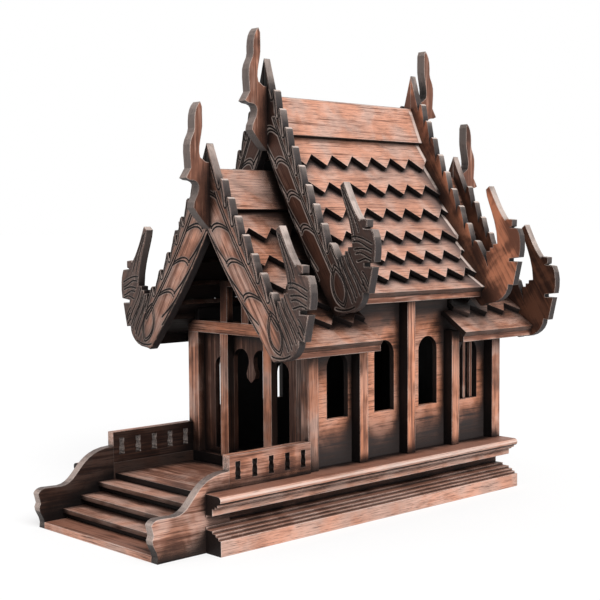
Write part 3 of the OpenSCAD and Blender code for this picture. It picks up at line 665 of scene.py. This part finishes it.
def add_shader(t):
    """The relief and gloss of the grain, and the shader."""
    height = t.plus(t.times(t.pores, PORE_RELIEF), t.times(t.streaks, STREAK_RELIEF))
    bump = t.add("ShaderNodeBump", {"Strength": RELIEF_STRENGTH, "Distance": RELIEF_DEPTH,
                                    "Height": height, "Normal": t.rounded})
    rough = t.math("SUBTRACT", t.spread(t.pores, *ROUGHNESS), t.times(t.worn, EDGE_GLOSS))
    shader = t.add("ShaderNodeBsdfPrincipled", {"Base Color": t.base, "Roughness": rough,
                                                "Normal": bump.outputs["Normal"]})
    shader.inputs["Specular IOR Level"].default_value = SPECULAR
    t.add("ShaderNodeOutputMaterial", {"Surface": shader.outputs["BSDF"]})


def stained_and_shaded_wood(name, settings, coat, nodes=()):
    """Stained and rubbed wood after one coat, with its painted light and shade, for the named nodes."""
    t = Surface(name, settings.wood, coat, nodes)
    draw_grain(t)
    rub_wood(t)
    if coat.patch:
        add_patches(t)
    shade_corners(t)
    if coat.banded:
        shade_wall_bands(t)
    if coat.pale_end:
        lay_pale_end(t)
    if coat.top:
        tread_tops(t)
    if coat.gleam:
        highlight_bend(t)
    if coat.glints:
        add_glints(t)
    shade_faces(t)
    if coat.carved:
        grey_board(t)
    if coat.rims:
        light_and_shade_rims(t)
    scuff_and_light_edges(t)
    if coat.carved:
        stain_and_light_lines(t)
    add_shader(t)
    return t.material


def coat_word(name):
    """The first word of the coats that a node's name contains."""
    return next((word for word in COATS if word in name), "")


class SPIRIT_OT_finish(bpy.types.Operator):
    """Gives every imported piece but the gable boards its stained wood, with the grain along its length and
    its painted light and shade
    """
    bl_idname = "spirit_house.finish"
    bl_label = "Stain the wood"

    def execute(self, context):
        settings = settings_of(context)
        made = {}
        for name, node in sorted(NODES.items()):
            if "bargeboard" in name:
                continue
            word = coat_word(name)
            if word not in made:
                alike = [other for other in NODES if coat_word(other) == word]
                # each material holds painted light and shade besides its stain
                made[word] = stained_and_shaded_wood("stained_" + word.strip("_"), settings, COATS[word], alike)
            for slot in node.material_slots:
                slot.material = made[word]
        return {"FINISHED"}


class GableLine:
    """The hollow roof line that a right-hand gable board follows, in metres.

    sag is the share by which it hangs in, foot the place where the tail starts, arcs the shares of the way
    down at which the bands lie, and first the share at which the borders start.
    """

    def __init__(self, reach, sag, rise, ridge, inside, outside, foot, arcs, first):
        self.sag, self.arcs, self.first = sag, arcs, first
        self.reach, self.rise, self.ridge = reach * MM, rise * MM, ridge * MM
        self.inside, self.outside = inside * MM, outside * MM
        self.foot = np.array(foot) * MM

    def at(self, t, across):
        """Point at share t of the way down and share across from the inner edge to the fins."""
        t, across = np.broadcast_arrays(np.asarray(t, float), np.asarray(across, float))
        x = self.reach * (t - self.sag * t * (1 - t)) - self.inside + across * (self.inside + self.outside)
        return np.stack([x, self.ridge - self.rise * t], -1)


LINES = {
    "main": GableLine(90.7, 0.25, 168, 357, 18, 8.5, (95.5, 174.5), (0.19, 0.349, 0.519, 0.687), 0.12),
    "low": GableLine(98.6, 0.354, 143, 293, 28, 8, (88.5, 139.5), (0.155, 0.345, 0.545, 0.735), 0.14),
}

# Slope of the grain on the gable boards, in degrees
BOARD_SLOPE = 57

# Borders along a board, as shares across it and of the way down
OUTER_BORDERS = (0.79, 0.865)
OUTER_END = 0.90
INNER_BORDER = 0.06
INNER_START, INNER_END = 0.12, 0.93
FIN_FOOT = 0.93
BORDER_POINTS = 40
SHOULDER_POINTS = 30

# Bowed double bands across a board, and the leaf edges that rise from its inner border between two of them
BAND_FROM, BAND_TO = 0.20, 0.78
BAND_BOW = 0.028
BAND_GAP = 0.018
LAST_BAND = 0.88
LEAF_RUNS = ((0.16, 1.0), (0.40, 0.95))
LEAF_WIDTH = 0.17
LEAF_CURVE = 1.3
BAND_POINTS, LEAF_POINTS, CURVE_POINTS = 15, 12, 14

# Carving on the foot and the tail of a board, in millimetres from its foot
LEAF_TIP, LEAF_BASE, LEAF_MIDDLE = (-11.0, 39.0), (0.5, 5.0), (-4.5, 19.0)
LEAF_SIDES = (((-18, 24), (-12, 8)), ((1, 33), (8, 16)))
LEAF_SCALES = (1.0, 0.82)
COLLAR = ((-9, 3.4), (-3, 1.8), (5, 1.8), (12, 5.5))
HORN_LINES = (((13.0, 60), (11, 76), (3, 88), (-1.4, 100)), ((17.0, 66), (13.5, 77), (6.5, 88), (0.4, 99)))
SWAY = (0.0, 0.9, -0.5, 0.7, -0.8, 0.4)

# Flames on the tail: how many, and the first place, step and sway of their starts, ends and two handles
FLAMES = (
    (6, ((-7.0, 43.0), (2.5, 1.7), (0, 1)), ((10.0, 9.0), (2.7, 2.4), (1, -1)),
     ((3.5, -12), (0, 0), (1, 0)), ((-4.5, 11), (0, 0), (0, 2))),
    (5, ((9.5, 61.5), (1.5, -4.6), (0, 1)), ((31.5, 56.5), (-0.3, -3.7), (0, -1)),
     ((7, 1.5), (0, 0), (0, 1)), ((-8, 3.2), (0, 0), (0, -1))),
    (3, ((21.0, 34.0), (0, -5.0), (1, 0)), ((28.5, 24.0), (-1.2, -2.5), (0, 1)),
     ((3.0, -1.5), (0, 0), (0, 0)), ((-2.5, 3.5), (0, 0), (0, 0))),
)

# Marks on a carved face, from the board's foot: where the greyed tail, the painted light on the horn's rim
# and the fins begin and fade
TAIL_FROM, TAIL_FADE, TAIL_TOP = -10 * MM, 14 * MM, 110 * MM
FINS_UP_TO, FIN_FADE, FIN_LINE = -3 * MM, 3 * MM, 1.9 * MM
HORN_FROM, HORN_FADE, HORN_LEAST = 46 * MM, 44 * MM, 0.12
# Painted light on a rim towards its tips, fade of the painted shade beside the lines and the rim, and the
# edge of a line and the place of its painted highlight
TIP_POWER = 3.2
BESIDE_FADE = 2.4 * MM
LINE_EDGE, LIGHT_OFFSET = 1.35, 2.0

# Meshing of a carved board
ROW_SHARE = 0.866
MERGE = 1e-7
NEAR_LINE, FAR = 3 * MM, 1e3
INSIDE_ONLY = 1
SHARP_ANGLE = 40


def bent(a, b, c, d):
    """Points of a cubic curve."""
    u = np.linspace(0, 1, CURVE_POINTS)[:, None]
    a, b, c, d = (np.asarray(q, float) for q in (a, b, c, d))
    return (1 - u) ** 3 * a + 3 * (1 - u) ** 2 * u * b + 3 * (1 - u) * u * u * c + u ** 3 * d


def border_lines(line):
    """Two lines below the fins and one along the inner edge."""
    outer = np.linspace(line.first, OUTER_END, BORDER_POINTS)
    inner = np.linspace(line.first + INNER_START, INNER_END, BORDER_POINTS)
    return [line.at(outer, across) for across in OUTER_BORDERS] + [line.at(inner, INNER_BORDER)]


def band_lines(line):
    """Bowed bands across the board, with leaf edges between them."""
    lines = []
    across = np.linspace(BAND_FROM, BAND_TO, BAND_POINTS)
    middle, half = (BAND_FROM + BAND_TO) / 2, (BAND_TO - BAND_FROM) / 2
    bow = BAND_BOW * (1 - ((across - middle) / half) ** 2)
    u = np.linspace(0, 1, LEAF_POINTS)
    stops = (*line.arcs, LAST_BAND)
    for start, stop in zip(stops, stops[1:]):
        lines.append(line.at(start - bow, across))
        lines.append(line.at(start + BAND_GAP - bow, across))
        for leave, arrive in LEAF_RUNS:
            down = start + (stop - start) * (leave + (arrive - leave) * u)
            lines.append(line.at(down, INNER_BORDER + LEAF_WIDTH * u ** LEAF_CURVE))
    return lines


def foot_lines():
    """The double leaf and the collar at the foot, and the two lines up the horn."""
    tip, base, middle = (np.array(place) for place in (LEAF_TIP, LEAF_BASE, LEAF_MIDDLE))
    sides = [bent(tip, *handles, base) for handles in LEAF_SIDES]
    leaf = [middle + scale * (side - middle) for scale in LEAF_SCALES for side in sides]
    return leaf + [bent(*COLLAR)] + [bent(*curve) for curve in HORN_LINES]


def flame_lines():
    """The flames on the tail, each a little off its place."""
    lines = []
    for count, *places in FLAMES:
        first, step, sway = np.array(places).transpose(1, 0, 2)
        for k, off in enumerate(SWAY[:count]):
            start, end, from_start, from_end = first + step * k + sway * off
            lines.append(bent(start, start + from_start, end + from_end, end))
    return lines


def carved_lines(line):
    """All carved lines of a right-hand board, in metres."""
    tail = [line.foot + points * MM for points in foot_lines() + flame_lines()]
    return border_lines(line) + band_lines(line) + tail


def gap_to_lines(points, lines):
    """Distance of each point to the nearest line, or FAR where none is near."""
    best = np.full(len(points), FAR)
    for line in lines:
        low, high = line.min(0) - NEAR_LINE, line.max(0) + NEAR_LINE
        near = np.where(((points > low) & (points < high)).all(1))[0]
        if not len(near):
            continue
        p = points[near][:, None, :]
        a, d = line[:-1][None], (line[1:] - line[:-1])[None]
        u = np.clip(((p - a) * d).sum(-1) / np.maximum((d * d).sum(-1), 1e-12), 0, 1)
        gap = np.sqrt((((a + u[..., None] * d) - p) ** 2).sum(-1)).min(1)
        best[near] = np.minimum(best[near], gap)
    return best


def board_rim(node, face_y):
    """The outline of a board's face in the plane y = face_y, in order, as X and Z."""
    mesh = node.data
    points = [tuple(round(c, 6) for c in v.co) for v in mesh.vertices]
    sides = {}
    for face in mesh.polygons:
        corners = [points[i] for i in face.vertices]
        if all(abs(c[1] - face_y) < 1e-5 for c in corners):
            sides.update(dict.fromkeys(zip(corners, corners[1:] + corners[:1])))
    after = {c: d for c, d in sides if (d, c) not in sides}
    if not after:
        raise RuntimeError("no flat face found on " + node.name)
    start = min(after)
    rim = [start]
    while after[rim[-1]] != start:
        rim.append(after[rim[-1]])
    return np.array([(c[0], c[2]) for c in rim])


def rim_sides(rim):
    """The sides of an outline, as lines of two points."""
    return [np.stack(pair) for pair in zip(rim, np.roll(rim, -1, 0))]


def inside_rim(points, rim):
    """Whether each point lies inside the outline."""
    inside = np.zeros(len(points), bool)
    x, z = points[:, 0], points[:, 1]
    for (x0, z0), (x1, z1) in rim_sides(rim):
        cross = (z0 > z) != (z1 > z)
        if z1 != z0:
            inside ^= cross & (x < (x1 - x0) * (z - z0) / (z1 - z0) + x0)
    return inside


def face_grid(rim, carving):
    """Points in staggered rows over a board's face, clear of its chamfer."""
    step = carving.step
    low, high = rim.min(0), rim.max(0)
    rows = []
    for i, z in enumerate(np.arange(low[1], high[1], step * ROW_SHARE)):
        x = np.arange(low[0] + (i % 2) * step / 2, high[0], step)
        rows.append(np.stack([x, np.full(len(x), z)], -1))
    grid = np.concatenate(rows)
    grid = grid[inside_rim(grid, rim)]
    return grid[gap_to_lines(grid, rim_sides(rim)) > carving.chamfer]


def filled(rim, grid=()):
    """Points and triangles inside an outline, and which of the given points each point comes from."""
    count = len(rim)
    given = [Vector(p) for p in rim] + [Vector(p) for p in grid]
    ring = [(i, (i + 1) % count) for i in range(count)]
    found = delaunay_2d_cdt(given, ring, [list(range(count))], INSIDE_ONLY, MERGE)
    return np.array([tuple(v) for v in found[0]]), [tuple(f) for f in found[2]], found[3]


def climb_of(rim):
    """How high each point of the outline stands between the notch and the tip next to it, from 0 to 1."""
    z = rim[:, 1]
    count = len(z)

    def reached(i, way, sign):
        while sign * z[(i + way) % count] > sign * z[i]:
            i = (i + way) % count
        return z[i]

    climb = np.zeros(count)
    for i in range(count):
        top = max(reached(i, way, 1) for way in (1, -1))
        bottom = min(reached(i, way, -1) for way in (1, -1))
        climb[i] = (z[i] - bottom) / max(top - bottom, 1e-6)
    return climb


def carving_marks(points, on_rim, rim, line, carving):
    """Marks for the material at each point: the lines, the painted highlight beside them, greyed wood,
    painted shade beside the lines and the rim, and painted light on the rims at the tips and up the horn.
    """
    is_rim = on_rim >= 0
    out, up = (points - line.foot).T
    shoulder = line.at(np.linspace(0, 1, SHOULDER_POINTS), FIN_FOOT)
    beyond = points[:, 0] - np.interp(-points[:, 1], -shoulder[:, 1], shoulder[:, 0])
    to_rim = gap_to_lines(points, rim_sides(rim))
    gap = gap_to_lines(points, carved_lines(line))
    fins = (beyond > 0) & (out < FINS_UP_TO) & ~is_rim
    gap = np.where(fins, np.minimum(gap, np.abs(to_rim - FIN_LINE)), gap)
    tail = np.where(up < TAIL_TOP, np.clip((out - TAIL_FROM) / TAIL_FADE, 0, 1), 0)
    horn = np.clip((up - HORN_FROM) / HORN_FADE, HORN_LEAST, 1)
    tips = np.where(is_rim, climb_of(rim)[on_rim], 0.0) ** TIP_POWER
    cut = np.clip(LINE_EDGE - gap / carving.line, 0, 1)
    light = np.clip(1 - np.abs(gap - LIGHT_OFFSET * carving.line) / carving.line, 0, 1)
    return {
        "carving": np.where(is_rim, 0, cut * cut * (3 - 2 * cut)),
        "carving_rim": np.where(is_rim, 0, light),
        "greyed": np.maximum(tail, np.clip(beyond / FIN_FADE, 0, 1)),
        "beside": np.where(is_rim, 0, np.exp(-np.minimum(gap, to_rim) / BESIDE_FADE)),
        "proud": np.where(out > FINS_UP_TO, horn, tips),
    }


def carved_face(rim, line, carving):
    """Points, triangles, rim points and marks of a right-hand board's outer face."""
    count = len(rim)
    points, triangles, origins = filled(rim, face_grid(rim, carving))
    on_rim = np.array([next((i for i in origin if i < count), -1) for origin in origins])
    return points, triangles, on_rim >= 0, carving_marks(points, on_rim, rim, line, carving)


def nearest(points, places):
    """Index of the point nearest to each place."""
    return [int(((points - place) ** 2).sum(1).argmin()) for place in places]


def in_plane(points, sign, y):
    """Points of a board's face, mirrored by the sign, at their depth in the scene."""
    return np.stack([points[:, 0] * sign, np.broadcast_to(y, len(points)), points[:, 1]], -1)


def turn_outward(mesh):
    """Turns all faces of a closed mesh outward and keeps its sharp edges."""
    shell = bmesh.new()
    shell.from_mesh(mesh)
    bmesh.ops.recalc_face_normals(shell, faces=shell.faces)
    shell.to_mesh(mesh)
    shell.free()
    mesh.shade_smooth()
    mesh.set_sharp_from_angle(angle=math.radians(SHARP_ANGLE))


def build_board(name, face, rim, mirrored, outer_y, inner_y, carving):
    """One carved board between its outer and inner faces, closed all round."""
    points, triangles, is_rim, marks = face
    sign = -1.0 if mirrored else 1.0
    into = 1.0 if inner_y > outer_y else -1.0
    depth = np.where(is_rim, carving.chamfer, marks["carving"] * carving.depth)
    back_points, back_triangles, _ = filled(rim)
    front = in_plane(points, sign, outer_y + into * depth)
    back = in_plane(back_points, sign, inner_y)
    ring, ring_back = nearest(points, rim), nearest(back_points, rim)
    count = len(points)
    polygons = triangles + [tuple(count + i for i in reversed(f)) for f in back_triangles]
    for i in range(len(rim)):
        j = (i + 1) % len(rim)
        polygons.append((ring[i], count + ring_back[i], count + ring_back[j], ring[j]))
    mesh = bpy.data.meshes.new(name)
    mesh.from_pydata([tuple(v) for v in np.concatenate([front, back])], [], polygons)
    for label, values in marks.items():
        on_back = np.zeros(len(back))
        on_back[ring_back] = values[ring]
        layer = mesh.attributes.new(label, "FLOAT", "POINT")
        layer.data.foreach_set("value", np.concatenate([values, on_back]).astype(np.float32))
    turn_outward(mesh)
    board = bpy.data.objects.new(name, mesh)
    bpy.context.scene.collection.objects.link(board)
    return board


class SPIRIT_OT_boards(bpy.types.Operator):
    """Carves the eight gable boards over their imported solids"""
    bl_idname = "spirit_house.boards"
    bl_label = "Carved gable boards"

    def execute(self, context):
        settings = settings_of(context)
        carving = settings.carving
        for size, line in LINES.items():
            first = NODES["%s_front_bargeboard_right" % size]
            rim = board_rim(first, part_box(first.name)[0].y)
            face = carved_face(rim, line, carving)
            for side, slope in (("left", BOARD_SLOPE), ("right", -BOARD_SLOPE)):
                coat = replace(COATS[size + "_board"], slope=math.radians(slope))
                finish = stained_and_shaded_wood("gable_board_%s_%s" % (size, side), settings, coat)
                for end in ("front", "rear"):
                    name = "%s_%s_bargeboard_%s" % (size, end, side)
                    low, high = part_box(name)
                    outer, inner = (low.y, high.y) if end == "front" else (high.y, low.y)
                    board = build_board("carved_%s_%s_%s" % (size, end, side), face, rim, side == "left",
                                        outer, inner, carving)
                    board.data.materials.append(finish)
                    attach(board, "root")
                    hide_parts(name)
        return {"FINISHED"}


# Window bars: how far they rise into the arch by its width, how far they enter the sill, and their spacing
ARCH_RISE = 0.46
SILL_DEPTH = 0.4 * MM
BAR_SPACING = 1.2
BAR_INPUTS = {"Bars": "Int", "Spacing": "Float", "Size": "Vector", "Middle": "Vector", "Wood": "Material"}


def bar_tree():
    """Geometry nodes that stand a row of bars in a window."""
    tree = bpy.data.node_groups.new("window_bars", "GeometryNodeTree")
    sockets = {}
    for name, kind in BAR_INPUTS.items():
        socket = tree.interface.new_socket(name, in_out="INPUT", socket_type="NodeSocket" + kind)
        sockets[name] = socket.identifier
    tree.interface.new_socket("Geometry", in_out="OUTPUT", socket_type="NodeSocketGeometry")
    t = Tree(tree)
    given = t.add("NodeGroupInput").outputs
    half = t.times(t.math("SUBTRACT", given["Bars"], 1.0), given["Spacing"], -0.5)
    shift = t.add("ShaderNodeCombineXYZ", {"Y": half}).outputs["Vector"]
    start = t.add("ShaderNodeVectorMath", {0: given["Middle"], 1: shift}, operation="ADD").outputs["Vector"]
    stride = t.add("ShaderNodeCombineXYZ", {"Y": given["Spacing"]}).outputs["Vector"]
    row = t.add("GeometryNodeMeshLine", {"Count": given["Bars"], "Start Location": start, "Offset": stride})
    bar = t.add("GeometryNodeMeshCube", {"Size": given["Size"], "Vertices X": 3, "Vertices Y": 3,
                                         "Vertices Z": 12})
    stand = t.add("GeometryNodeInstanceOnPoints", {"Points": row.outputs["Mesh"],
                                                   "Instance": bar.outputs["Mesh"]})
    real = t.add("GeometryNodeRealizeInstances", {"Geometry": stand.outputs["Instances"]})
    coat = t.add("GeometryNodeSetMaterial", {"Geometry": real.outputs["Geometry"], "Material": given["Wood"]})
    t.add("NodeGroupOutput", {"Geometry": coat.outputs["Geometry"]})
    return tree, sockets


class SPIRIT_OT_bars(bpy.types.Operator):
    """Stands the bars in the rear window of each side"""
    bl_idname = "spirit_house.bars"
    bl_label = "Window bars"

    def execute(self, context):
        settings = settings_of(context)
        bars = settings.bars
        wood = stained_and_shaded_wood("bar_wood", settings, COATS["bars"])
        tree, sockets = bar_tree()
        for side in ("left", "right"):
            low, high = (Vector(corner) for corner in openings()[side + "_window_4"])
            wall_low, wall_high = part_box(side + "_wall")
            width = high.y - low.y
            tall = high.z - low.z + width * ARCH_RISE
            middle = ((wall_low.x + wall_high.x) / 2, (low.y + high.y) / 2, low.z - SILL_DEPTH + tall / 2)
            holder = bpy.data.objects.new("bars_" + side + "_tree", bpy.data.meshes.new("bars_" + side))
            context.scene.collection.objects.link(holder)
            grow = holder.modifiers.new("bars", "NODES")
            grow.node_group = tree
            given = {"Bars": bars.count, "Spacing": width / (bars.count + 1) * BAR_SPACING,
                     "Size": (bars.depth, bars.width, tall), "Middle": middle, "Wood": wood}
            for key, value in given.items():
                grow[sockets[key]] = value
            context.view_layer.update()
            grown = holder.evaluated_get(context.evaluated_depsgraph_get())
            mesh = bpy.data.meshes.new_from_object(grown)
            if not mesh.polygons:
                raise RuntimeError("the window bars came out empty")
            bpy.data.objects.remove(holder)
            piece = bpy.data.objects.new("window_bars_" + side, mesh)
            context.scene.collection.objects.link(piece)
            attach(piece, "root")
        return {"FINISHED"}


# Studio: floor, key light and camera, with angles in degrees and places in metres
WHITE = (1.0, 1.0, 1.0, 1.0)
FLOOR_COLOUR = (0.92, 0.92, 0.92, 1.0)
FLOOR_HALF = 40.0
FLOOR_GLOW, GLOW_SHARE = 1.08, 0.6
KEY_DIRECTION, KEY_WIDTH = (-0.70, 0.22, -0.68), 35
SENSOR_WIDTH, CLIP_START = 36.0, 0.05
CAMERA_SHIFT = (-0.0347, 0.0162)
CAMERA_TURN, CAMERA_DIP, CAMERA_ROLL = 46.05, 3.79, -0.31
CAMERA_PLACE = (0.7999, -0.75485, 0.2436)


def light_world(scene, ambient):
    """Even light from all round, before a white background."""
    scene.world = bpy.data.worlds.new("studio")
    t = Tree(empty_nodes(scene.world))
    path = t.add("ShaderNodeLightPath").outputs
    seen = t.most(path["Is Camera Ray"], t.most(path["Is Glossy Ray"], path["Is Transmission Ray"]))
    level = t.add("ShaderNodeMapRange", {"Value": seen, "To Min": ambient, "To Max": 1.0})
    sky = t.add("ShaderNodeBackground", {"Color": WHITE, "Strength": level.outputs["Result"]})
    t.add("ShaderNodeOutputWorld", {"Surface": sky.outputs["Background"]})


def pale_floor():
    """White paper that glows a little for the camera and keeps the shadow."""
    paper = bpy.data.materials.new("pale_floor")
    t = Tree(empty_nodes(paper))
    path = t.add("ShaderNodeLightPath").outputs
    diffuse = t.add("ShaderNodeBsdfDiffuse", {"Color": FLOOR_COLOUR})
    glow = t.add("ShaderNodeEmission", {"Color": WHITE, "Strength": FLOOR_GLOW})
    blend = t.add("ShaderNodeMixShader", {"Fac": t.times(path["Is Camera Ray"], GLOW_SHARE)})
    t.put(blend.inputs[1], diffuse.outputs["BSDF"])
    t.put(blend.inputs[2], glow.outputs["Emission"])
    t.add("ShaderNodeOutputMaterial", {"Surface": blend.outputs["Shader"]})
    return paper


def lay_floor(scene):
    """The floor, which isn't part of the object."""
    corners = [(x * FLOOR_HALF, y * FLOOR_HALF, 0) for x, y in ((-1, -1), (1, -1), (1, 1), (-1, 1))]
    mesh = bpy.data.meshes.new("floor")
    mesh.from_pydata(corners, [], [(0, 1, 2, 3)])
    mesh.materials.append(pale_floor())
    floor = bpy.data.objects.new("floor", mesh)
    scene.collection.objects.link(floor)


def hang_key(scene, energy):
    """The soft key light from the right."""
    key = bpy.data.lights.new("key", "SUN")
    key.energy = energy
    key.angle = math.radians(KEY_WIDTH)
    lamp = bpy.data.objects.new("key", key)
    lamp.rotation_euler = Vector(KEY_DIRECTION).to_track_quat("-Z", "Y").to_euler()
    scene.collection.objects.link(lamp)


def place_camera(scene, lens):
    """The camera at the photograph's viewing angle."""
    camera = bpy.data.cameras.new("camera")
    camera.sensor_fit = "HORIZONTAL"
    camera.sensor_width = SENSOR_WIDTH
    camera.lens = lens
    camera.shift_x, camera.shift_y = CAMERA_SHIFT
    camera.clip_start = CLIP_START
    turn, dip, roll = (math.radians(angle) for angle in (CAMERA_TURN, CAMERA_DIP, CAMERA_ROLL))
    ahead = Vector((-math.sin(turn) * math.cos(dip), math.cos(turn) * math.cos(dip), -math.sin(dip)))
    level = Vector((math.cos(turn), math.sin(turn), 0.0))
    upright = level.cross(ahead)
    right = level * math.cos(roll) + upright * math.sin(roll)
    up = upright * math.cos(roll) - level * math.sin(roll)
    pose = Matrix((right, up, -ahead)).transposed().to_4x4()
    pose.translation = Vector(CAMERA_PLACE)
    viewer = bpy.data.objects.new("camera", camera)
    viewer.matrix_world = pose
    scene.collection.objects.link(viewer)
    scene.camera = viewer


class SPIRIT_OT_stage(bpy.types.Operator):
    """Adds the pale floor, the soft light and the camera"""
    bl_idname = "spirit_house.stage"
    bl_label = "Studio stage"

    def execute(self, context):
        stage = settings_of(context).stage
        context.scene.view_settings.view_transform = "Standard"
        light_world(context.scene, stage.ambient)
        lay_floor(context.scene)
        hang_key(context.scene, stage.key)
        place_camera(context.scene, stage.lens)
        return {"FINISHED"}


class SPIRIT_PT_panel(bpy.types.Panel):
    """Lists the steps that dress the house"""
    bl_idname = "SPIRIT_PT_panel"
    bl_label = "Spirit House"
    bl_space_type = "VIEW_3D"
    bl_region_type = "UI"
    bl_category = "Spirit House"

    def draw(self, context):
        for operator in OPERATORS:
            self.layout.operator(operator.bl_idname)


GROUPS = (WoodFinish, BoardCarving, WindowBars, StudioStage, HouseSettings)
OPERATORS = (SPIRIT_OT_stage, SPIRIT_OT_finish, SPIRIT_OT_boards, SPIRIT_OT_bars)


def register():
    for cls in GROUPS + OPERATORS + (SPIRIT_PT_panel,):
        bpy.utils.register_class(cls)
    bpy.types.Scene.spirit_house = PointerProperty(type=HouseSettings)


def unregister():
    del bpy.types.Scene.spirit_house
    for cls in reversed(GROUPS + OPERATORS + (SPIRIT_PT_panel,)):
        bpy.utils.unregister_class(cls)


def main():
    """Dresses the house."""
    register()
    bpy.ops.spirit_house.stage()
    bpy.ops.spirit_house.finish()
    bpy.ops.spirit_house.boards()
    bpy.ops.spirit_house.bars()


if __name__ == "__main__":
    main()
